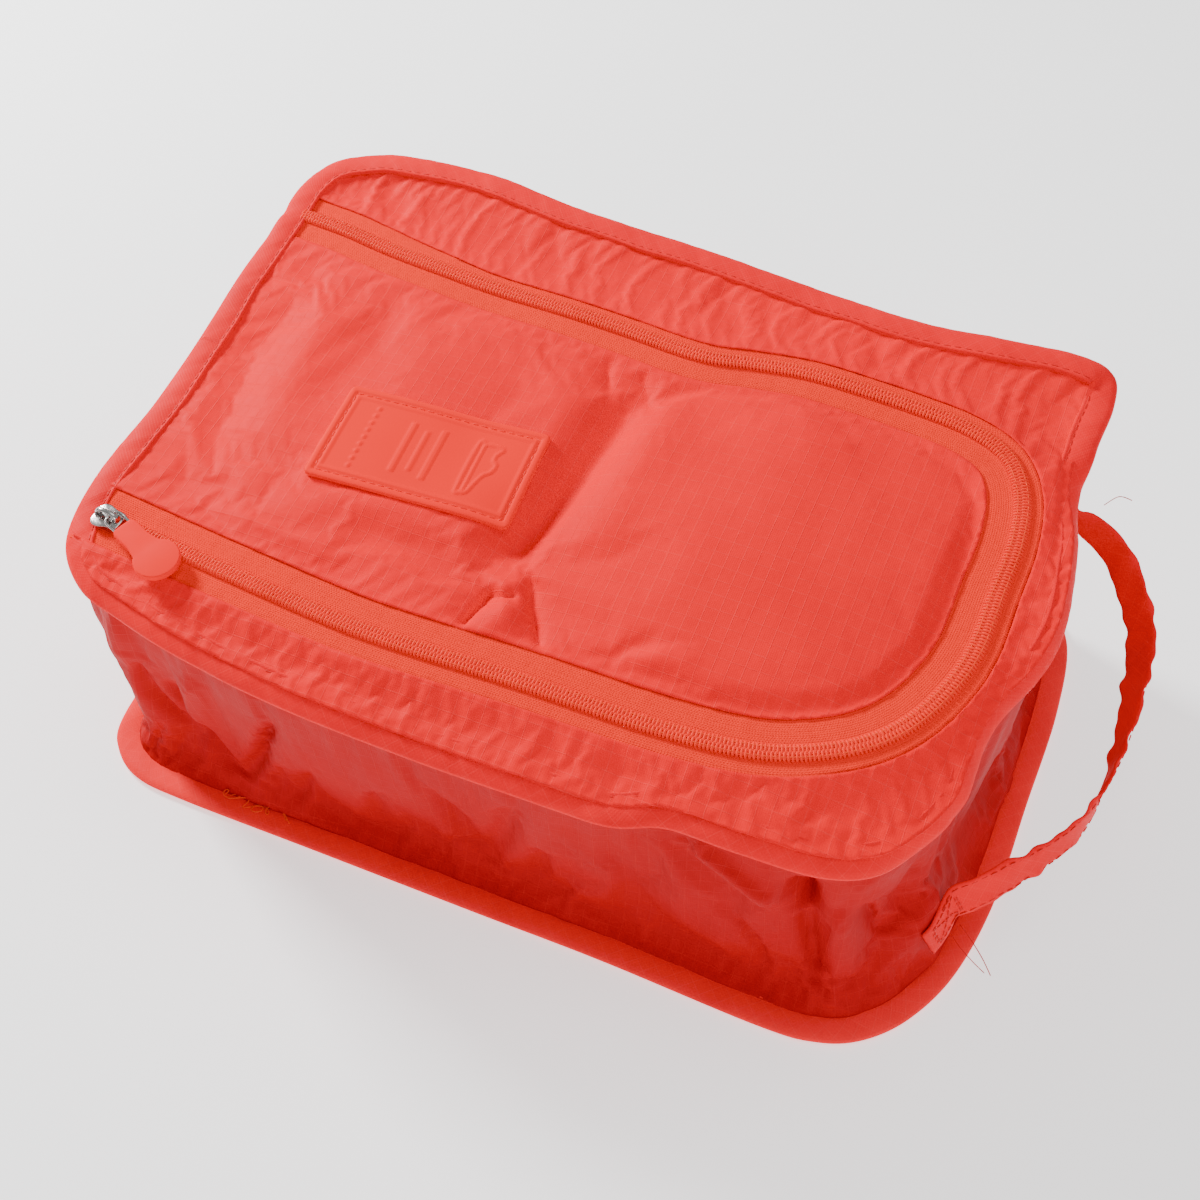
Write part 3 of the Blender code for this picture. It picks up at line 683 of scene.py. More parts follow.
def around(line):
    """A closed line with its first point again at its end."""
    return np.vstack([line, line[:1]])


def groove_line(place, side, up, section, lift=0.12):
    """The stitched groove near a binding's inner edge."""
    groove = section[:, GROOVE]
    return place + (side * groove[:, :1] + up * (groove[:, 1:] + lift)) * MM


lid_stitch_line = groove_line(to_world(LID_EDGE), lid_in @ LID_AXES, lid_up @ LID_AXES, lid_section)
lid_stitches = stitches("lid_binding_stitches", around(lid_stitch_line), around(lid_up @ LID_AXES), thread)
base_stitch_line = groove_line(BASE_EDGE * MM, base_in, base_up, base_section)
base_stitches = stitches("base_binding_stitches", around(base_stitch_line), around(base_up), thread)

# ---------------------------------------------------------------- the zip: tapes and coils
TAPE_W = 0.25
zip_s = run_length(ZIP_LINE)
zip_lift = 0.35 * waves(zip_s, 21, [47, 83]) * soft_step(zip_s, 20, 60)
zip_lift *= soft_step(zip_s[-1] - zip_s, 200, 240)
tape_out_width = fit(TAPE_SHOWS_OUT, len(ZIP_LINE))


def tape_strip(name, side_sign, width):
    """A strip of knitted tape beside the coil: its section is flat and of even thickness, rippled towards its
    edge, which dips a little.
    """
    section = []
    ripple = 0.12 * waves(zip_s, 31 + side_sign, [6.1, 9.7, 15])
    for k in range(len(ZIP_LINE)):
        w = width[k]
        top = [(0.15, 0.5), (1.6, 0.55), (3.3, 0.5), (5.2, 0.5 + ripple[k] * 0.4), (7.4, 0.5 + ripple[k]),
               (w - 0.6, 0.45 + ripple[k]), (w, 0.3)]
        section.append(top + [(a, b - 0.42) for a, b in top[::-1]])
    section = np.array(section)
    section[:, :, 0] *= side_sign
    out = np.column_stack([ZIP_OUT, np.zeros(len(ZIP_OUT))]) @ LID_AXES
    up = np.repeat(LID_N[None], len(ZIP_LINE), 0)
    line = np.column_stack([ZIP_LINE, zip_lift])
    return sweep(name, to_world(line), out, up, section, tape_knit)


tape_outer = tape_strip("zip_tape_outer_knit", 1, tape_out_width + 1.0)
tape_inner = tape_strip("zip_tape_inner_knit", -1, np.full(len(ZIP_LINE), FLAP_SEAM + 1.0))

COIL_PITCH = 1.15
TOOTH = [(2.15, 0.35, 0.0), (2.45, 0.8, 0.0), (2.0, 1.2, 0.0), (1.0, 1.36, 0.02), (0.1, 1.3, 0.0),
         (-0.38, 0.92, 0.0), (-0.1, 0.5, 0.0), (1.0, 0.42, -0.02)]


def tooth_shape(radius=0.44, sides=6):
    """One turn of the coil: a bent bar round its loop, (out, up, along)."""
    line = smooth_line(TOOTH, 0.62, closed=True)
    n = len(line)
    t = np.roll(line, -1, 0) - np.roll(line, 1, 0)
    t = unit(t)
    a = np.cross(t, (0, 0, 1.0))
    a = unit(a)
    b = np.cross(t, a)
    verts = [line[i] + a[i] * radius * math.cos(q) + b[i] * radius * 0.95 * math.sin(q)
             for i in range(n) for q in np.linspace(0, 2 * math.pi, sides, endpoint=False)]
    return np.array(verts), grid_faces(n, sides, True, True)


def coil_row(name, side_sign):
    """Every tooth of one side of the zip; the two sides' heads lie between each other."""
    phase = 0.25 if side_sign > 0 else 0.75
    at = np.arange(5 + phase * COIL_PITCH, zip_s[-1] - 5, COIL_PITCH)
    line = np.column_stack([ZIP_LINE, zip_lift + TAPE_W])
    place = np.column_stack([np.interp(at, zip_s, line[:, k]) for k in range(3)])
    out = np.column_stack([np.interp(at, zip_s, ZIP_OUT[:, k]) for k in range(2)] + [np.zeros(len(at))])
    out = out * side_sign
    up = np.repeat([[0, 0, 1.0]], len(at), 0)
    along = np.cross(out, up)
    axes = np.stack([out, up, along], 1) @ LID_AXES
    verts, faces = tooth_shape()
    return copies(name, verts, faces, to_world(place), axes, coil_plastic)


coil_outer = coil_row("zip_teeth_outer", 1)
coil_inner = coil_row("zip_teeth_inner", -1)


def coil_cord(name, side_sign):
    """The filler cord that runs through the loops of one side's coil."""
    line = np.column_stack([ZIP_LINE + ZIP_OUT * side_sign * 1.25, zip_lift + TAPE_W + 0.88])[5:-5]
    out = np.column_stack([ZIP_OUT, np.zeros(len(ZIP_OUT))])[5:-5]
    return sweep(name, to_world(line), out @ LID_AXES, np.repeat(LID_N[None], len(line), 0),
                 round_section(0.8, 0.26, 8), coil_plastic)


cord_outer, cord_inner = coil_cord("zip_cord_outer", 1), coil_cord("zip_cord_inner", -1)


def coil_seam(name, side_sign):
    """The stitching that holds a coil on its tape."""
    out = ZIP_OUT * side_sign
    line = np.column_stack([ZIP_LINE + out * 1.55, zip_lift + TAPE_W + 1.5])
    up = np.repeat(LID_N[None], len(line), 0)
    keep = slice(6, -6)
    return stitches(name, to_world(line)[keep], up[keep], orange_thread, 2.1, 0.35, 0.2, 0.0)


coil_seam_outer = coil_seam("zip_coil_seam_outer", 1)
coil_seam_inner = coil_seam("zip_coil_seam_inner", -1)

# ---------------------------------------------------------------- the lid's fabric
FLAP_CREASES = [  # line, depth, width, sharp
    ([(0, 42), (-1, 22), (-3, 2), (-8, -26), (-14, -45), (-15, -57)], 4.4, 7.0, False),
    ([(-11, -54), (-14, -65), (-15.5, -76)], 4.2, 2.4, True),
    ([(-13, -55), (-8, -57), (-2, -54)], 3.2, 2.2, True),
    ([(-3, -44), (1, -54), (7, -63), (13, -74)], 3.4, 2.0, True),
    ([(-66, -50), (-43, -50), (-25, -55), (-15, -59)], 1.8, 5.5, False),
    ([(-15, 44), (-12, 35), (-8, 26)], 1.5, 2.4, True),
    ([(-3, 43), (2, 34), (8, 26)], 1.5, 2.4, True),
    ([(22, 46), (14, 38), (6, 30)], 1.3, 3.0, False),
    ([(-10, -48), (-5, -60), (-1, -72)], -2.6, 5.0, False),
    ([(16, 40), (14, 10), (12, -24), (4, -44)], -2.0, 9.0, False),
    ([(-22, 38), (-20, 10), (-24, -30), (-26, -48)], -1.4, 8.0, False),
    ([(-118, 44), (-110, 0), (-104, -40)], -1.0, 9.0, False),
    ([(-128, 40), (-127, 0), (-118, -50)], 1.0, 7.0, False),
    ([(-96, 44), (-93, 20), (-96, -10)], 0.8, 6.0, False),
    ([(36, -66), (46, -60), (58, -58)], -1.0, 3.5, False),
    ([(28, -70), (34, -62), (44, -54)], 1.0, 3.0, False),
    ([(48, 44), (60, 34), (76, 30)], -0.8, 4.0, False),
]


def flap_height(p):
    """Large shapes of the flap: the crowned right half, the creases, and slack between them."""
    u, v = p[:, 0], p[:, 1]
    r = ((u - 58) / 72) ** 2 + ((v + 12) / 70) ** 2
    w = 6.5 * np.clip(1 - r, 0, 1) ** 1.4
    r = ((u + 62) / 74) ** 2 + ((v + 12) / 66) ** 2
    w += 1.6 * np.clip(1 - r, 0, 1) ** 1.3
    for line, depth, width, sharp in FLAP_CREASES:
        if not sharp:
            w -= crease(p, line, depth, width)
    return w


def split(p, cut, faces):
    """The same cloth with each triangle cut into four."""
    n = len(p)
    pairs = np.sort(np.concatenate([faces[:, [0, 1]], faces[:, [1, 2]], faces[:, [2, 0]]]), axis=1)
    edges, where = np.unique(pairs, axis=0, return_inverse=True)
    a, b, c = (where.reshape(3, -1) + n)
    new = np.concatenate([np.column_stack(q) for q in (
        (faces[:, 0], a, c), (a, faces[:, 1], b), (c, b, faces[:, 2]), (a, b, c))])
    return np.vstack([p, p[edges].mean(1)]), np.vstack([cut, cut[edges].mean(1)]), new


def tucks(p, creases):
    """The sharp folds alone, which are pressed in after the cloth has settled."""
    w = np.zeros(len(p))
    for line, depth, width, sharp in creases:
        if sharp:
            w -= crease(p, line, depth, width, True)
    return w


def puckers(pts, line, seed, amount, reach, lengths):
    """Small gathers that stand square to a seam and die out away from it."""
    k = nearest_on(pts, line)
    d = np.linalg.norm(pts - line[k, :2], axis=1)
    s = run_length(line[:, :2])[k]
    strength = 0.45 + 0.55 * np.clip(waves(s, seed + 7, [41, 67]) + 0.4, 0, 1)
    lean = 0.9 * d * np.exp(-d / 20)
    return amount * waves(s + lean, seed, lengths) * np.exp(-d / reach) * soft_step(d, 0.2, 2.5) * strength


def lid_cloth(name, outline, spacing, seams, shape):
    """Lid fabric: seams are (line in lid coordinates, height) pairs that hold its edge."""
    pts, faces = cloth_patch(outline, spacing)
    edge = resample(np.asarray(outline, float)[:, :2], spacing, True)
    rim = distance_to(pts, edge) < spacing * 0.3
    heights = np.zeros(len(pts))
    best = np.full(len(pts), 1e9)
    for line, height in seams:
        k = nearest_on(pts, line)
        d = np.linalg.norm(pts - line[k, :2], axis=1)
        h = (line[k, 2] if line.shape[1] > 2 else 0) + height
        heights = np.where(d < best, h, heights)
        best = np.minimum(best, d)
    w = relax(np.where(rim, heights, heights.mean()), faces, rim, 700)
    w = w + shape(pts) * soft_step(distance_to(pts, edge), 0.0, 9.0)
    return np.column_stack([pts, w]), faces, rim


CLOTH_W = 0.95
inner_seam = np.column_stack([ZIP_LINE - ZIP_OUT * FLAP_SEAM, zip_lift + CLOTH_W])
outer_seam = np.column_stack([ZIP_LINE + ZIP_OUT * tape_out_width[:, None], zip_lift + CLOTH_W])
under_binding = inside_of(LID_EDGE, 5.5)

under_u, under_v = under_binding[:, 0], under_binding[:, 1]
left_run = under_binding[(under_u < -120) & (under_v < 57) & (under_v > -63)]
left_run = left_run[np.argsort(left_run[:, 1])]
in_reach = inner_seam[inner_seam[:, 0] > left_run[0, 0] + 1]
flap_outline = np.vstack([in_reach, left_run])
flap_p, flap_f, flap_rim = lid_cloth("flap_cloth", flap_outline, 2.1,
                                     [(inner_seam, 0.0), (left_run, 0.0)], flap_height)
flap_p[:, 2] += puckers(flap_p[:, :2], inner_seam, 41, 0.16, 5, [6.5, 11.3, 17.7])
flap_cut = flap_p[:, :2].copy()
flap_p = to_lid(drape(to_world(flap_p), flap_f, flap_rim, 0.006, 12, 0.0, 2.0, 0.3))
flap_p, flap_cut, flap_f = split(flap_p, flap_cut, np.asarray(flap_f))
flap_near = soft_step(distance_to(flap_cut, resample(flap_outline[:, :2], 2.1, True)), 0.0, 4.0)
flap_p[:, 2] += tucks(flap_cut, FLAP_CREASES) * flap_near

start = int(np.argmax((under_u < -130) & (under_v > 78)))
ring = np.roll(under_binding, -start, 0)
ring = ring[~((ring[:, 0] < -130) & (ring[:, 1] < 78) & (ring[:, 1] > -84))]
out_reach = outer_seam[outer_seam[:, 0] > -146]
border_outline = np.vstack([ring, out_reach[::-1]])
BORDER_CREASES = [
    ([(134, 44), (128, 38), (131, 24), (136, 14)], 2.4, 3.6, False),
    ([(141, 52), (139, 30), (143, 8)], 1.2, 2.6, False),
    ([(134, 60), (132, 40), (136, 10)], -1.2, 3.0, False),
    ([(136, -10), (134, -30), (128, -50)], 1.2, 3.2, False),
    ([(10, 92), (14, 78), (24, 64)], 1.2, 5.0, False),
    ([(-128, 98), (-118, 88), (-112, 76)], 1.3, 5.0, False),
    ([(60, 90), (66, 78), (70, 68)], 0.9, 4.0, False),
    ([(-60, 98), (-52, 84), (-48, 70)], 0.9, 5.0, False),
    ([(-100, -98), (-60, -98), (-20, -99), (20, -100)], 1.0, 5.0, False),
    ([(-128, -92), (-120, -88), (-112, -87)], 1.6, 4.0, False),
    ([(40, -92), (50, -100), (56, -108)], 1.6, 4.5, False),
    ([(84, -86), (98, -92), (112, -92)], -1.4, 6.0, False),
]


def border_height(p):
    """Slack of the lid's fixed fabric between the zip and the binding."""
    w = np.zeros(len(p))
    for line, depth, width, sharp in BORDER_CREASES:
        w -= crease(p, line, depth, width, sharp)
    return w


border_p, border_f, border_rim = lid_cloth("lid_cloth", border_outline, 1.9,
                                           [(outer_seam, 0.0), (under_binding, 0.0)], border_height)
border_p[:, 2] += puckers(border_p[:, :2], outer_seam, 51, 0.62, 12, [6.1, 8.7, 12.9, 18.5])
border_p[:, 2] += puckers(border_p[:, :2], inside_of(LID_EDGE, 9), 61, 0.7, 9, [5.1, 7.4, 11])
border_cut = border_p[:, :2].copy()
border_p = to_lid(drape(to_world(border_p), border_f, border_rim, 0.012, 16, bending=0.1))
border_p, border_cut, border_f = split(border_p, border_cut, np.asarray(border_f))


def lid_object(name, p, cut, faces, material, thickness=0.35):
    """Lid fabric as an object, with its place on the flat cloth kept for the weave."""
    obj = make_object(name, to_world(p), faces, material, cut * MM)
    return thicken(obj, thickness)


flap_cloth = lid_object("flap_cloth", flap_p, flap_cut, flap_f, nylon)
lid_cloth_piece = lid_object("lid_cloth", border_p, border_cut, border_f, nylon)

# ---------------------------------------------------------------- the wall and the base
WALL_ROWS = 42


def matched(line, other):
    """For each point of a closed line, the point of the other closed line in the same direction."""
    a = np.unwrap(np.arctan2(other[:, 1] / 0.7, other[:, 0]))
    b = np.unwrap(np.arctan2(line[:, 1] / 0.7, line[:, 0]))
    if a[-1] < a[0]:
        a, other = a[::-1], other[::-1]
    turn = 2 * math.pi
    a3 = np.concatenate([a - turn, a, a + turn])
    o3 = np.vstack([other, other, other])
    b = (b - a[0]) % turn + a[0]
    return np.column_stack([np.interp(b, a3, o3[:, k]) for k in range(other.shape[1])])


WALL_INSET = 8.2  # how far inside each bound edge the wall is sewn
foot = resample(inside_of(BASE_EDGE, WALL_INSET), 2.6, True)
foot[:, 2] = 2.1
head_line = to_world(inside_of(LID_EDGE, WALL_INSET) - np.array([0, 0, 1.2])) / MM
head = matched(foot, head_line)
wall_run = closed_run(foot)
wall_s, wall_length = wall_run[:-1], wall_run[-1]
wall_out = left_of(foot, True)

FRONT_CREASES = [  # in (x, z) on the front of the wall
    ([(-119, 52), (-107, 26), (-95, 8)], 3.0, 4.0, False),
    ([(-68, 66), (-79, 38), (-92, 10)], 3.4, 3.2, False),
    ([(-134, 66), (-138, 36), (-138, 12)], 3.0, 4.0, False),
    ([(-100, 70), (-104, 50), (-112, 30)], -2.2, 7.0, False),
    ([(-34, 50), (-38, 30), (-43, 10)], 1.6, 4.0, False),
    ([(-12, 56), (-8, 30), (-5, 9)], 2.4, 5.0, False),
    ([(17, 70), (5, 36), (-5, 9)], 2.0, 6.0, False),
    ([(22, 48), (18, 26), (14, 8)], 1.8, 4.0, False),
    ([(44, 60), (40, 34), (32, 10)], -1.6, 7.0, False),
    ([(60, 78), (76, 74), (92, 66), (103, 60)], -3.4, 5.0, False),
    ([(100, 76), (104, 62), (106, 52)], 5.0, 3.0, True),
    ([(104, 56), (108, 34), (114, 12)], 2.6, 2.4, True),
    ([(112, 62), (120, 36), (124, 12)], -2.4, 6.0, False),
    ([(112, 74), (126, 84), (140, 90)], 2.0, 4.0, False),
    ([(122, 60), (128, 42), (132, 24)], 2.6, 3.0, True),
    ([(132, 66), (138, 48), (136, 26)], 2.2, 3.0, True),
    ([(84, 44), (92, 26), (96, 10)], 1.8, 4.0, True),
    ([(-128, 62), (-124, 40), (-112, 20)], 2.2, 3.0, True),
    ([(-60, 40), (-66, 24), (-72, 8)], 1.6, 3.0, True),
]


def wall_slack(s, z):
    """Folds of the wall all round: leaning pleats that run between the seams, (outwards)."""
    rng = np.random.default_rng(77)
    d = np.zeros(np.shape(s))
    at = 0.0
    while at < wall_length:
        lean, width, depth = rng.uniform(-0.5, 0.5), rng.uniform(4, 9), rng.uniform(-2.6, 2.4)
        middle, tall = rng.uniform(20, 75), rng.uniform(28, 60)
        off = (s - (at + lean * (z - 45)) + wall_length / 2) % wall_length - wall_length / 2
        d += depth * np.exp(-(off / width) ** 2) * np.exp(-((z - middle) / tall) ** 2)
        at += rng.uniform(16, 34)
    return d


FOLD_DEPTH = 1.9
HANDLE_ENDS = [(137.5, -64, 24), (144, 89, 70)]  # where the band is sewn on, which keeps the wall flat
FRONT_LEFT = np.array([-146.0, -80.0])  # where the wall bulges at its front left corner


def wall_points():
    """The wall between its two seams, with its slack."""
    t = np.linspace(0, 1, WALL_ROWS)
    grid = foot[:, None] * (1 - t)[None, :, None] + head[:, None] * t[None, :, None]
    s = np.repeat(wall_s[:, None], WALL_ROWS, 1)
    z = grid[:, :, 2]
    held = np.sin(math.pi * np.clip(t, 0, 1))[None] ** 0.5
    front = soft_step(-wall_out[:, 1], 0.15, 0.5)[:, None] * np.ones((1, WALL_ROWS))
    corner = np.linalg.norm(foot[:, :2] - FRONT_LEFT, axis=1)
    d = 1.5 * wall_slack(s, z) * (1 - 0.75 * front)
    xz = np.stack([grid[:, :, 0], z], -1).reshape(-1, 2)
    folds = np.zeros(len(xz))
    for line, depth, width, sharp in FRONT_CREASES:
        folds -= FOLD_DEPTH * crease(xz, line, depth, width, sharp)
    d += folds.reshape(d.shape) * front
    d -= 4.5 * front * np.sin(math.pi * t)[None]
    d -= 2.0 * soft_step(wall_out[:, 0], 0.5, 0.9)[:, None] * np.sin(math.pi * t)[None]
    gathered = np.exp(-(z - 3) / 9) + np.exp(-(1 - t)[None] * 11)
    d += 0.9 * waves(s + 0.35 * z, 88, [5.3, 8.3, 14], wall_length) * gathered
    d += 12.0 * (np.exp(-(corner / 26) ** 2))[:, None] * np.exp(-((t - 0.6) / 0.36) ** 2)[None]
    d *= held
    for end in HANDLE_ENDS:
        d *= 1 - np.exp(-(np.linalg.norm(grid - end, axis=2) / 15) ** 2)
    out = np.column_stack([wall_out, np.zeros(len(foot))])
    return grid + out[:, None] * d[:, :, None]


wall_p = wall_points()
wall_faces = grid_faces(len(foot), WALL_ROWS, True, False)
wall_held = np.zeros((len(foot), WALL_ROWS), bool)
wall_held[:, [0, -1]] = True
for end in HANDLE_ENDS:
    wall_held |= np.linalg.norm(wall_p - end, axis=2) < 9
wall_settled = drape(wall_p.reshape(-1, 3) * MM, wall_faces, wall_held.ravel(), 0.03, 18, 0.2, 8.0, 0.05)
wall_p = wall_settled.reshape(wall_p.shape) / MM


def finer(sheet):
    """The same closed sheet with a point added between each two."""
    wide = np.stack([sheet, (sheet + np.roll(sheet, -1, 0)) / 2], 1).reshape(-1, *sheet.shape[1:])
    tall = np.empty((len(wide), 2 * sheet.shape[1] - 1, sheet.shape[2]))
    tall[:, ::2], tall[:, 1::2] = wide, (wide[:, 1:] + wide[:, :-1]) / 2
    return tall


def wall_tucks(s, z, x, front):
    """Sharp folds that are pressed into the wall after it has settled, (outwards)."""
    rng = np.random.default_rng(31)
    d = np.zeros(s.shape)
    for _ in range(60):
        at, middle, lean = rng.uniform(0, wall_length), rng.uniform(12, 82), rng.uniform(-0.9, 0.9)
        depth, width, tall = rng.uniform(0.5, 1.7), rng.uniform(1.6, 3.2), rng.uniform(9, 24)
        off = (s - (at + lean * (z - middle)) + wall_length / 2) % wall_length - wall_length / 2
        d -= depth * np.exp(-np.abs(off) / width) * np.exp(-((z - middle) / tall) ** 2) * (1 - 0.6 * front)
    xz = np.stack([x, z], -1).reshape(-1, 2)
    for line, depth, width, sharp in FRONT_CREASES:
        if sharp:
            d -= crease(xz, line, depth, width, True).reshape(d.shape) * front
    return d


wall_p = finer(wall_p)
foot_f = finer(foot[:, None])[:, :1]
wall_rows = wall_p.shape[1]
out_f = np.stack([wall_out, (wall_out + np.roll(wall_out, -1, 0)) / 2], 1).reshape(-1, 1, 2)
out_f = unit(out_f)
s_f = np.stack([wall_s, (wall_s + wall_run[1:]) / 2], 1).reshape(-1, 1) * np.ones((1, wall_rows))
front_f = soft_step(-out_f[:, :, 1], 0.15, 0.5) * np.ones((1, wall_rows))
free = np.sin(math.pi * np.linspace(0, 1, wall_rows)) ** 0.5 * np.ones((len(wall_p), 1))
for end in HANDLE_ENDS:
    free *= 1 - np.exp(-(np.linalg.norm(wall_p - end, axis=2) / 15) ** 2)
wall_p[:, :, :2] += out_f * (wall_tucks(s_f, wall_p[:, :, 2], wall_p[:, :, 0], front_f) * free)[:, :, None]
# near its foot the wall stands on the seam, and doesn't lie over the base binding
wall_off = ((wall_p - foot_f)[:, :, :2] * out_f).sum(2)
over = np.maximum(wall_off - (0.6 + 0.30 * np.maximum(wall_p[:, :, 2] - foot_f[:, :, 2], 0)), 0)
wall_p[:, :, :2] -= out_f * over[:, :, None]
wall_faces = grid_faces(len(wall_p), wall_rows, True, False)
# the seam column has its texture place repeated, so the weave doesn't smear over the last quad
wall_grid = np.vstack([wall_p, wall_p[:1]])
wall_uv_s = np.concatenate([s_f[:, 0], [wall_length]])
rise = np.linspace(0, 100, wall_rows)
wall_uv = np.stack(np.meshgrid(wall_uv_s, rise, indexing="ij"), -1).reshape(-1, 2) * MM
side_wall = make_object("side_wall_cloth", wall_grid.reshape(-1, 3) * MM,
                        grid_faces(len(wall_grid), wall_rows), shaded_wall_nylon, wall_uv)
thicken(side_wall, 0.35)

base_outline = inside_of(BASE_EDGE, 5.0)
base_p, base_f = cloth_patch(base_outline, 4.5)
base_waves = waves(base_p[:, 0] + 0.4 * base_p[:, 1], 15, [38, 61, 90])
base_z = 1.4 + 0.9 * base_waves * soft_step(distance_to(base_p, base_outline), 3, 25)
base_cloth = make_object("base_cloth", np.column_stack([base_p, base_z]) * MM, base_f, nylon, base_p * MM)
thicken(base_cloth, 0.45)

# ---------------------------------------------------------------- the label
LABEL_CENTRE, LABEL_SIZE, LABEL_TURN = (-51.0, -18.3), (69.5, 38.0), math.radians(3.0)


def rounded_box(width, depth, radius, count=6):
    """A rectangle's outline with rounded corners."""
    pts = []
    for cx, cy, start in ((1, 1, 0), (-1, 1, 90), (-1, -1, 180), (1, -1, 270)):
        for k in range(count + 1):
            q = math.radians(start + 90 * k / count)
            pts.append((cx * (width / 2 - radius) + radius * math.cos(q),
                        cy * (depth / 2 - radius) + radius * math.sin(q)))
    return np.array(pts)


def label_profile(p):
    """Height of the moulding on the label at points of its own flat plane."""
    hw, hd = LABEL_SIZE[0] / 2, LABEL_SIZE[1] / 2
    d = np.minimum(hw - np.abs(p[:, 0]), hd - np.abs(p[:, 1]))
    h = 0.95 + 0.35 * soft_step(d, 0.0, 0.7)
    h -= 0.45 * soft_step(d, 1.9, 2.4) * (1 - soft_step(d, 3.0, 3.5))
    h -= 0.25 * soft_step(d, 4.4, 4.8)
    return h


def surface_height(p, faces, at):
    """Height of a lid fabric, given in lid coordinates, at points (u, v)."""
    tree = BVHTree.FromPolygons([tuple(q) for q in p], [tuple(f) for f in faces])
    found = np.zeros(len(at))
    for k, (u, v) in enumerate(at):
        hit = tree.ray_cast(Vector((u, v, 60)), Vector((0, 0, -1)))
        found[k] = hit[0].z if hit[0] is not None else CLOTH_W
    return found


def smooth_grid(values, rows, cols, times):
    """Evens out a grid of values, edges included."""
    g = values.reshape(rows, cols)
    for _ in range(times):
        wide = np.pad(g, 1, mode="edge")
        g = (wide[:-2, 1:-1] + wide[2:, 1:-1] + wide[1:-1, :-2] + wide[1:-1, 2:]) / 4
    return g.ravel()


def on_label(p):
    """Points of the label's own plane as (u, v) of the lid."""
    c, s = math.cos(LABEL_TURN), math.sin(LABEL_TURN)
    u = LABEL_CENTRE[0] + p[:, 0] * c - p[:, 1] * s
    v = LABEL_CENTRE[1] + p[:, 0] * s + p[:, 1] * c
    return np.column_stack([u, v])


SHOE = [(-9, -4), (10, -4), (11, -2.4), (10.4, -0.6), (6.5, 0.6), (2.6, 2.0), (0.6, 4.0), (-2.4, 4.4),
        (-4, 3.0), (-6.5, 3.2), (-8.6, 4.4), (-9.6, 2.4), (-9.4, -1.5)]
SOLE = [(-8.6, -1.9), (10.2, -1.9)]


def emblem(p):
    """A plain shoe outline and bars, standing a little proud of the label."""
    turned = np.column_stack([-p[:, 1], p[:, 0] - 18])
    shoe = smooth_line(SHOE, 0.5, True)
    d = distance_to(turned, shoe)
    h = 0.3 * (1 - soft_step(d, 0.45, 0.8))
    to_sole = distance_to(turned, resample(np.array(SOLE, float), 0.5))
    h = np.maximum(h, 0.3 * (1 - soft_step(to_sole, 0.3, 0.6)))
    for k, half in enumerate((10, 8, 10)):
        bar = np.maximum(np.abs(p[:, 0] - (2 - 5.2 * k)) - 0.75, np.abs(p[:, 1]) - half)
        h = np.maximum(h, 0.28 * (1 - soft_step(bar, 0.0, 0.3)))
    for k in range(9):
        dot = np.linalg.norm(p - np.array([-22, -12 + 3 * k]), axis=1)
        h = np.maximum(h, 0.28 * (1 - soft_step(dot, 0.6, 0.95)))
    return h


LABEL_STEP = 0.5
LABEL_CORNER = 2.2
LABEL_LIFT = 0.55  # the label's underside above the fabric's middle
cols = int(LABEL_SIZE[0] / LABEL_STEP) + 1
rows = int(LABEL_SIZE[1] / LABEL_STEP) + 1
gx = np.linspace(-LABEL_SIZE[0] / 2, LABEL_SIZE[0] / 2, cols)
gy = np.linspace(-LABEL_SIZE[1] / 2, LABEL_SIZE[1] / 2, rows)
label_flat = np.stack(np.meshgrid(gy, gx, indexing="ij"), -1).reshape(-1, 2)[:, ::-1]
# the square grid's corners are drawn in to round them
label_core = np.array(LABEL_SIZE) / 2 - LABEL_CORNER
over = np.maximum(np.abs(label_flat) - label_core, 0)
reach = np.linalg.norm(over, axis=1)
both = (over.min(1) > 0) & (reach > 0)
limit = np.maximum(over.max(1), 1e-6)
drawn_in = label_core + over * (limit / np.maximum(reach, 1e-6))[:, None]
label_flat = np.where(both[:, None], np.sign(label_flat) * drawn_in, label_flat)
label_uv = on_label(label_flat)
label_under = surface_height(flap_p, flap_f, label_uv)
label_under = smooth_grid(label_under, rows, cols, 400) + LABEL_LIFT
label_top = label_under + label_profile(label_flat) + emblem(label_flat)
top = np.column_stack([label_uv, label_top])
bottom = np.column_stack([label_uv, label_under])
n = len(top)
label_grid = grid_faces(rows, cols)
rim = list(range(cols)) + [r * cols + cols - 1 for r in range(1, rows)]
rim += [(rows - 1) * cols + k for k in range(cols - 2, -1, -1)]
rim += [r * cols for r in range(rows - 2, 0, -1)]
label_faces = label_grid.tolist() + (label_grid[:, ::-1] + n).tolist()
label_faces += [[a, a + n, b + n, b] for a, b in zip(rim, rim[1:] + rim[:1])]
label = make_object("label_rubber", to_world(np.vstack([top, bottom])), label_faces, rubber)

SEAM_IN_LABEL = 5.4  # how much narrower and shorter the line of stitches is than the label
stitch_box = rounded_box(LABEL_SIZE[0] - SEAM_IN_LABEL, LABEL_SIZE[1] - SEAM_IN_LABEL, 1.6)
stitch_path = resample(stitch_box, 1.0, True)
stitch_uv = on_label(stitch_path)
stitch_w = surface_height(top, label_grid, stitch_uv) + 0.1
stitch_line = around(to_world(np.column_stack([stitch_uv, stitch_w])))
stitch_up = np.repeat(LID_N[None], len(stitch_line), 0)
label_stitches = stitches("label_stitches", stitch_line, stitch_up, label_sewing, 2.4, 0.7, 0.22, 0.05)

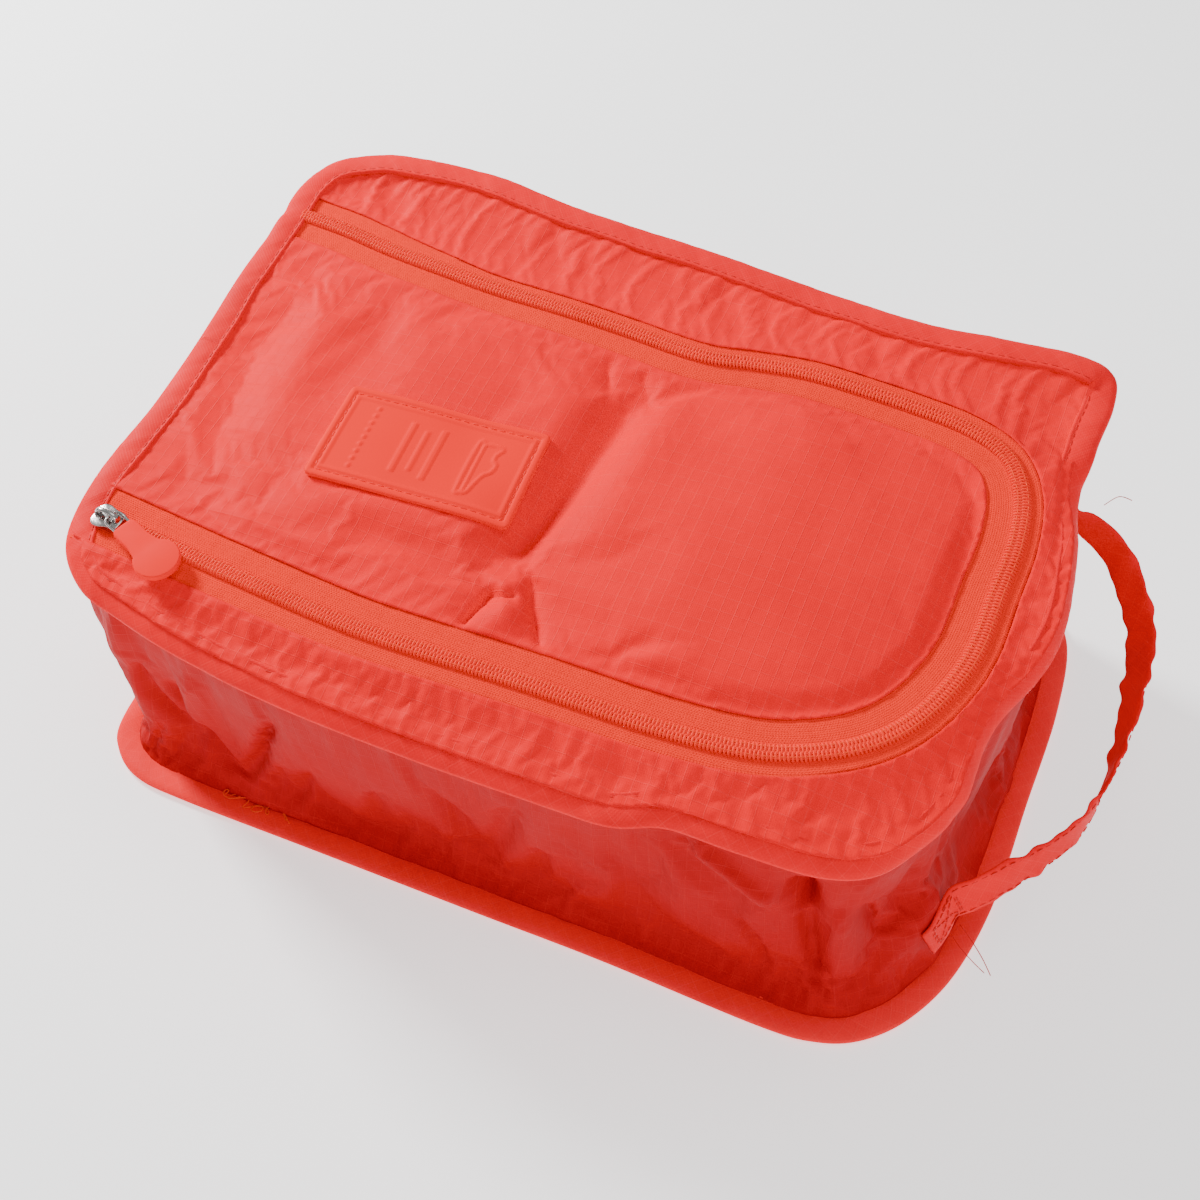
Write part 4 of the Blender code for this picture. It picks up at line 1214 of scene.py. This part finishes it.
# ---------------------------------------------------------------- the slider
SLIDER_X = slide / np.linalg.norm(slide)
SLIDER_Y = np.cross(LID_N, SLIDER_X)
slider_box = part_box("slider_body")
slider_mid = to_lid([np.array(slider_box[0] + slider_box[1]) / 2])[0]
SLIDER_O = to_world([[slider_mid[0], slider_mid[1], 0.0]])[0]
SLIDER_AXES = np.array([SLIDER_X, SLIDER_Y, LID_N])


def slider_world(p):
    """Slider coordinates, x along its travel, to the frame's metres."""
    return SLIDER_O + (np.asarray(p, float) @ SLIDER_AXES) * MM


def plate(name, outline, low, high, material, place, bevel=0.25, segments=3):
    """A flat plate of any outline with rounded edges."""
    n = len(outline)
    verts = [(x, y, low) for x, y in outline] + [(x, y, high) for x, y in outline]
    faces = [list(range(n))[::-1], list(range(n, 2 * n))]
    faces += [[k, (k + 1) % n, n + (k + 1) % n, n + k] for k in range(n)]
    obj = make_object(name, place(verts), faces, material)
    m = obj.modifiers.new("edge", "BEVEL")
    m.width, m.segments, m.limit_method, m.angle_limit = bevel * MM, segments, "ANGLE", math.radians(40)
    return apply_modifiers(obj)


def mirrored(half):
    """A closed outline from one side of it."""
    half = np.array(half, float)
    return np.vstack([half, (half * (1, -1))[::-1]])


SLIDER_HALF = [(-5.1, 0.6), (-5.0, 2.2), (-4.4, 3.5), (-3.2, 4.25), (-1.4, 4.3), (0.2, 3.75), (2.2, 3.35),
               (4.2, 3.2), (4.9, 2.7), (5.1, 1.4)]
slider_outline = smooth_line(mirrored(SLIDER_HALF), 0.4, True)
post_outline = smooth_line(mirrored([(-4.9, 0.5), (-3.6, 1.15), (-2.0, 0.5)]), 0.3, True)
parts = [plate("slider_top", slider_outline, 1.95, 2.95, chrome, slider_world, 0.35),
         plate("slider_under", slider_outline, -1.85, -0.85, chrome, slider_world, 0.3),
         plate("slider_post", post_outline, -1.2, 2.4, chrome, slider_world, 0.1)]
for side in (1, -1):
    lip = [(-0.9, 3.85), (1.0, 3.45), (4.7, 3.1), (4.7, 2.55), (1.0, 2.9), (-0.9, 3.3)]
    lip = np.array(lip) * (1, side)
    parts.append(plate("slider_lip_top", lip, 1.35, 2.2, chrome, slider_world, 0.15))
    parts.append(plate("slider_lip_under", lip, -1.0, -0.35, chrome, slider_world, 0.12))


def bar(name, line, section, material, place, axes, side=(0, 1, 0)):
    """A bar of one section along a line; side is the section's fixed sideways direction."""
    line = np.asarray(line, float)
    side = np.repeat(np.array(side, float)[None], len(line), 0)
    up = np.cross(tangents(line), side)
    up = unit(up)
    return sweep(name, place(line), side @ axes, up @ axes, section, material)


arch = smooth_line([(-3.9, 0, 2.6), (-3.5, 0, 4.6), (-2.2, 0, 5.7), (0, 0, 5.95), (2.4, 0, 5.5),
                    (3.7, 0, 4.4), (4.1, 0, 2.7)], 0.35)
widths = fit([1.5, 1.2, 0.85, 0.75, 0.8, 1.1, 1.4], len(arch))
arch_section = np.array([round_section(w, 0.5) for w in widths])
parts.append(bar("slider_bridge_arch", arch, arch_section, chrome, slider_world, SLIDER_AXES))


def join(name, objects):
    """Several objects as one, which keeps the first one's material."""
    verts, faces, shift = [], [], 0
    for o in objects:
        verts += [o.matrix_world @ v.co for v in o.data.vertices]
        faces += [[i + shift for i in f.vertices] for f in o.data.polygons]
        shift += len(o.data.vertices)
        material = o.data.materials[0]
        bpy.data.objects.remove(o)
    obj = make_object(name, verts, [[0, 1, 2]], material)
    obj.data.clear_geometry()
    obj.data.from_pydata([tuple(v) for v in verts], [], faces)
    obj.data.polygons.foreach_set("use_smooth", [True] * len(obj.data.polygons))
    return obj


slider = join("slider_detail", parts)
slider.data.set_sharp_from_angle(angle=math.radians(50))

# ---------------------------------------------------------------- link and tab
swing = joints["puller_swing"]
swing_axis = np.array(swing["axis"])
PULL_Y = -swing_axis / np.linalg.norm(swing_axis)
PULL_X = np.cross(PULL_Y, LID_N)
PULL_O = np.array(swing["pos_m"])
PULL_AXES = np.array([PULL_X, PULL_Y, LID_N])


def pull_world(p):
    """Puller coordinates: x towards the tab's end, z up from the pivot."""
    return PULL_O + (np.asarray(p, float) @ PULL_AXES) * MM


link_line = smooth_line([(0, 0, 0), (0.35, 1.9, 0), (1.9, 2.75, 0), (5.0, 2.7, 0.1), (7.6, 2.5, 0.1),
                         (8.9, 1.4, 0.1), (9.1, 0, 0.1), (8.9, -1.4, 0.1), (7.6, -2.5, 0.1),
                         (5.0, -2.7, 0.1), (1.9, -2.75, 0), (0.35, -1.9, 0)], 0.3, True)
link_t = tangents(link_line, True)
link_side = np.cross(link_t, (0, 0, 1.0))
link_side = unit(link_side)
link_up = np.cross(link_side, link_t)
link = sweep("pull_link_wire", pull_world(link_line), link_side @ PULL_AXES, link_up @ PULL_AXES,
             round_section(0.52, 0.52), chrome, closed=True)

TAB_START, DISC_AT, DISC_RADIUS, NECK_HALF, TAB_THICK = 6.4, 24.6, 7.3, 4.0, 2.2


def tab_outline():
    """Half of the tab: a straight neck that waists in before the disc."""
    pts = [(TAB_START, 2.4), (TAB_START + 0.5, 3.4), (TAB_START + 1.6, NECK_HALF), (11.5, 4.1), (14.4, 4.0)]
    q0 = math.asin(4.0 / DISC_RADIUS)
    for q in np.linspace(math.pi - q0 - 0.12, 0.12, 12):
        pts.append((DISC_AT + DISC_RADIUS * math.cos(q), DISC_RADIUS * math.sin(q)))
    pts[5] = (pts[5][0] - 0.2, pts[5][1] + 0.1)
    return smooth_line(mirrored(pts), 0.5, True)


tab = plate("pull_tab_rubber", tab_outline(), -TAB_THICK / 2, TAB_THICK / 2, tab_rubber, pull_world, 0.5, 4)

# ---------------------------------------------------------------- the handle
HANDLE = [  # place, outward direction of its face
    ((134.8, -67.5, 22.5), (0.62, -0.64, 0.45)), ((140.5, -60.5, 26.0), (0.62, -0.64, 0.45)),
    ((146.5, -54.0, 29.6), (0.62, -0.66, 0.42)), ((153.0, -47.5, 32.6), (0.60, -0.70, 0.36)),
    ((162.6, -36, 34.5), (0.62, -0.74, 0.22)), ((170.0, -25, 36.0), (0.78, -0.58, 0.12)),
    ((174.6, -14, 39.5), (0.93, -0.32, 0.02)), ((176.8, 0, 44), (0.98, -0.06, -0.16)),
    ((177.0, 15, 49), (0.92, 0.02, -0.38)), ((176.2, 32, 53), (0.84, 0.10, -0.52)),
    ((174.0, 48, 56), (0.80, 0.24, -0.54)), ((167.5, 62, 60), (0.70, 0.46, -0.46)),
    ((159.0, 73, 64), (0.66, 0.60, -0.30)), ((152.5, 79.5, 67.0), (0.74, 0.62, -0.05)),
    ((147.0, 86.0, 69.0), (0.76, 0.64, 0.05)), ((141.0, 92.5, 70.5), (0.74, 0.66, 0.05))]
handle_all = smooth_line([p + n for p, n in HANDLE], 1.2)
handle_line, handle_n = handle_all[:, :3], handle_all[:, 3:]
handle_n = unit(handle_n)
wall_tree = BVHTree.FromPolygons([tuple(q) for q in wall_p.reshape(-1, 3)], [tuple(f) for f in wall_faces])
from_end = np.minimum(run_length(handle_line), run_length(handle_line)[-1] - run_length(handle_line))
for k in np.flatnonzero(from_end < 24):
    place, normal = wall_tree.find_nearest(Vector(handle_line[k]))[:2]
    normal = np.array(normal) * math.copysign(1, normal[0])
    share = 1 - soft_step(from_end[k], 12, 24)
    handle_line[k] += (np.array(place) + normal * 1.9 - handle_line[k]) * share
    handle_n[k] += (normal - handle_n[k]) * share * 0.55
for _ in range(6):
    handle_n[1:-1] = (handle_n[:-2] + handle_n[1:-1] + handle_n[2:]) / 3
    handle_line[1:-1] = (handle_line[:-2] + 2 * handle_line[1:-1] + handle_line[2:]) / 4
handle_t = tangents(handle_line)
handle_w = np.cross(handle_n, handle_t)
handle_w = unit(handle_w)
handle_w *= np.sign(handle_w[:, 2:])
handle_n = np.cross(handle_t, handle_w)
handle_s = run_length(handle_line)
handle_half = fit([6.1, 6.2, 6.2, 6.0, 6.4, 6.0, 5.6, 5.9, 6.2, 5.8, 6.1, 6.2, 6.2], len(handle_line))
handle_half = handle_half + 0.4 * waves(handle_s, 71, [9, 14])
free_part = soft_step(handle_s, 18, 40) * soft_step(handle_s[-1] - handle_s, 18, 40)
cup = 0.9 * waves(handle_s, 72, [17, 26]) * free_part
buckle = 0.8 * waves(handle_s, 73, [8.5, 13]) * free_part
band = []
for k in range(len(handle_line)):
    h = handle_half[k]
    across = np.linspace(-1, 1, 13)
    ripple = 0.25 * math.sin(handle_s[k] / 3.1)
    curl = cup[k] * (across ** 2 - 0.5) + buckle[k] * across ** 3 + ripple * across ** 2
    thick = 0.62 - 0.16 * np.exp(-((np.abs(across) - 0.8) / 0.07) ** 2)
    thick[[0, -1]] = 0.3
    band.append(np.vstack([np.column_stack([across * h, curl + thick]),
                           np.column_stack([across[::-1] * h, (curl - thick)[::-1]])]))
handle = sweep("handle_band", handle_line * MM, handle_w, handle_n, np.array(band), binding_cloth)


def handle_seam(name, across):
    """The line of stitches near an edge of the band, on its outer face."""
    place = handle_line + handle_w * (handle_half * across)[:, None] + handle_n * 0.6
    return stitches(name, place[8:-8] * MM, handle_n[8:-8], thread, 2.5, 0.8, 0.22, 0.0)


handle_seams = [handle_seam("handle_seam_upper", 0.8), handle_seam("handle_seam_lower", -0.8)]


BOX_HALF = 4.3  # half the width of the sewn square


def box_stitch(name, first, last):
    """The sewn square with a cross in it that holds an end of the band."""
    k = slice(first, last)
    c, w, n = handle_line[k], handle_w[k], handle_n[k]
    sign = np.sign((n @ [1.0, 0, 0]).mean())
    lift = n * 0.75 * sign
    t = np.linspace(-1, 1, len(c))[:, None]
    half = w * BOX_HALF
    runs = [c + half + lift, c - half + lift, c + half * t + lift, c - half * t + lift]
    for end in (0, -1):
        q = np.linspace(-BOX_HALF, BOX_HALF, 12)[:, None]
        runs.append(c[end] + w[end] * q + lift[end])
        runs.append(c[end] + w[end] * q + lift[end] + handle_t[k][end] * 0.8)
    facing = (n.mean(0) * sign)[None]
    made = [stitches(f"{name}_{i}", r * MM, np.repeat(facing, len(r), 0), thread, 1.9, 0.35, 0.26, 0.0)
            for i, r in enumerate(runs)]
    return join(name, made)


front_box = box_stitch("handle_box_stitch_front", 2, 15)
rear_box = box_stitch("handle_box_stitch_rear", len(handle_line) - 15, len(handle_line) - 2)


def wisp(name, points, radius, material):
    """A loose end of thread."""
    line = smooth_line(points, 0.6)
    t = tangents(line)
    side = np.cross(t, (0.31, 0.17, 0.93))
    side = unit(side)
    up = np.cross(side, t)
    return sweep(name, line * MM, side, up, round_section(radius, radius, 6), material)


wisps = [
    wisp("loose_thread_handle", [(147, -62, 27), (151, -65, 26.5), (156, -69, 25), (160, -73, 23.5)],
         0.16, thread),
    wisp("loose_thread_handle_2", [(145, -64, 24), (149, -68, 24.5), (154, -71, 24), (158, -73.5, 24.5)],
         0.14, thread),
    wisp("loose_thread_rear", [(150, 84, 74), (153, 86, 77), (155, 84, 80), (158, 83, 80.5)], 0.16, thread),
]
tangle_points = []
for k in range(46):
    a = k * 0.83
    tangle_points.append((-101 + k * 0.62 + 2.2 * math.cos(a) + 1.4 * math.sin(k * 0.37),
                          -99.5 + 1.6 * math.sin(a * 1.13) + 0.9 * math.sin(k * 0.21),
                          3.35 + 0.45 * math.sin(a * 0.7)))
wisps.append(wisp("thread_tangle", tangle_points, 0.2, orange_thread))

# ---------------------------------------------------------------- what rides on what
for obj in (lid_cloth_piece, side_wall, base_cloth, lid_binding, base_binding, lid_stitches, base_stitches,
            tape_outer, coil_outer, cord_outer, coil_seam_outer, front_box, rear_box, *wisps):
    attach(obj, "bag")
for obj in (label, label_stitches):
    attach(obj, "flap")
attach(slider, "slider")
for obj in (link, tab):
    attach(obj, "puller")

for obj in (flap_cloth, tape_inner, coil_inner, cord_inner, coil_seam_inner):
    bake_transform(obj)
for obj in (handle, *handle_seams):
    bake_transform(obj)

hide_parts("lid_panel")
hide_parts("flap_panel")
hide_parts("side_wall")
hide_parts("base_panel")
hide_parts("lid_binding")
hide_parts("lid_binding_thread")
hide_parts("base_binding")
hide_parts("base_binding_thread")
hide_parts("zip_tape_outer", "zip_thread_outer")
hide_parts("zip_tape_inner", "zip_thread_inner")
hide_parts("zip_coil_outer")
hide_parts("zip_coil_inner")
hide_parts("label_patch")
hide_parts("label_thread")
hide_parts("slider_body", "slider_bridge")
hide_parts("pull_link")
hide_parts("pull_tab")
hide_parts("handle_strap", "handle_end_front", "handle_end_rear")
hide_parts("handle_stitch_front")
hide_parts("handle_stitch_rear")


# ---------------------------------------------------------------- floor, light and camera
floor_look = Look("floor", (0.92, 0.92, 0.92), 0.9, Emission_Color=(1, 1, 1, 1), Emission_Strength=0.9)
floor_cloud = floor_look.spread(floor_look.noise(3, 2), 0, 1)
floor_paint = floor_look.mix(floor_cloud, (0.90, 0.90, 0.90), (0.94, 0.94, 0.94))
FLOOR = 4.0
floor = make_object("floor", [(-FLOOR, -FLOOR, 0), (FLOOR, -FLOOR, 0), (FLOOR, FLOOR, 0), (-FLOOR, FLOOR, 0)],
                    [[0, 1, 2, 3]], floor_look.finish(floor_paint))

world = bpy.data.worlds.new("soft_room")
world.use_nodes = True
world.node_tree.nodes["Background"].inputs["Color"].default_value = (1.0, 1.0, 1.0, 1)
world.node_tree.nodes["Background"].inputs["Strength"].default_value = 0.5
bpy.context.scene.world = world


def area_light(name, place, target, size, power):
    """A square lamp turned towards its target."""
    lamp = bpy.data.lights.new(name, "AREA")
    lamp.shape, lamp.size, lamp.energy = "SQUARE", size, power
    obj = bpy.data.objects.new(name, lamp)
    bpy.context.scene.collection.objects.link(obj)
    obj.location = place
    obj.rotation_mode = "QUATERNION"
    obj.rotation_quaternion = (Vector(target) - Vector(place)).to_track_quat("-Z", "Y")
    return obj


area_light("key", (-1.1, 0.35, 0.72), (0, 0, 0.08), 0.3, 30)
area_light("overhead", (0.25, 0.1, 1.35), (0, 0, 0.05), 0.8, 5)
area_light("front", (0.85, -1.1, 0.6), (0, 0, 0.05), 0.5, 7)

VIEW_FROM = (0.13713812, -0.31288469, 0.45108201)
AZIMUTH, ELEVATION, ROLL = (math.radians(a) for a in (23.7141, 49.8928, -0.3947))
level = math.cos(ELEVATION)
back = Vector((math.sin(AZIMUTH) * level, -math.cos(AZIMUTH) * level, math.sin(ELEVATION)))
flat = Vector((math.cos(AZIMUTH), math.sin(AZIMUTH), 0))
rise = back.cross(flat)
right = flat * math.cos(ROLL) + rise * math.sin(ROLL)
camera_up = rise * math.cos(ROLL) - flat * math.sin(ROLL)
lens = bpy.data.cameras.new("camera")
lens.sensor_width, lens.lens = 36.0, 45.853
lens.clip_start, lens.clip_end = 0.01, 20
camera = bpy.data.objects.new("camera", lens)
bpy.context.scene.collection.objects.link(camera)
camera.matrix_world = Matrix((right, camera_up, back)).transposed().to_4x4()
camera.location = VIEW_FROM
bpy.context.scene.camera = camera

bpy.context.view_layer.update()
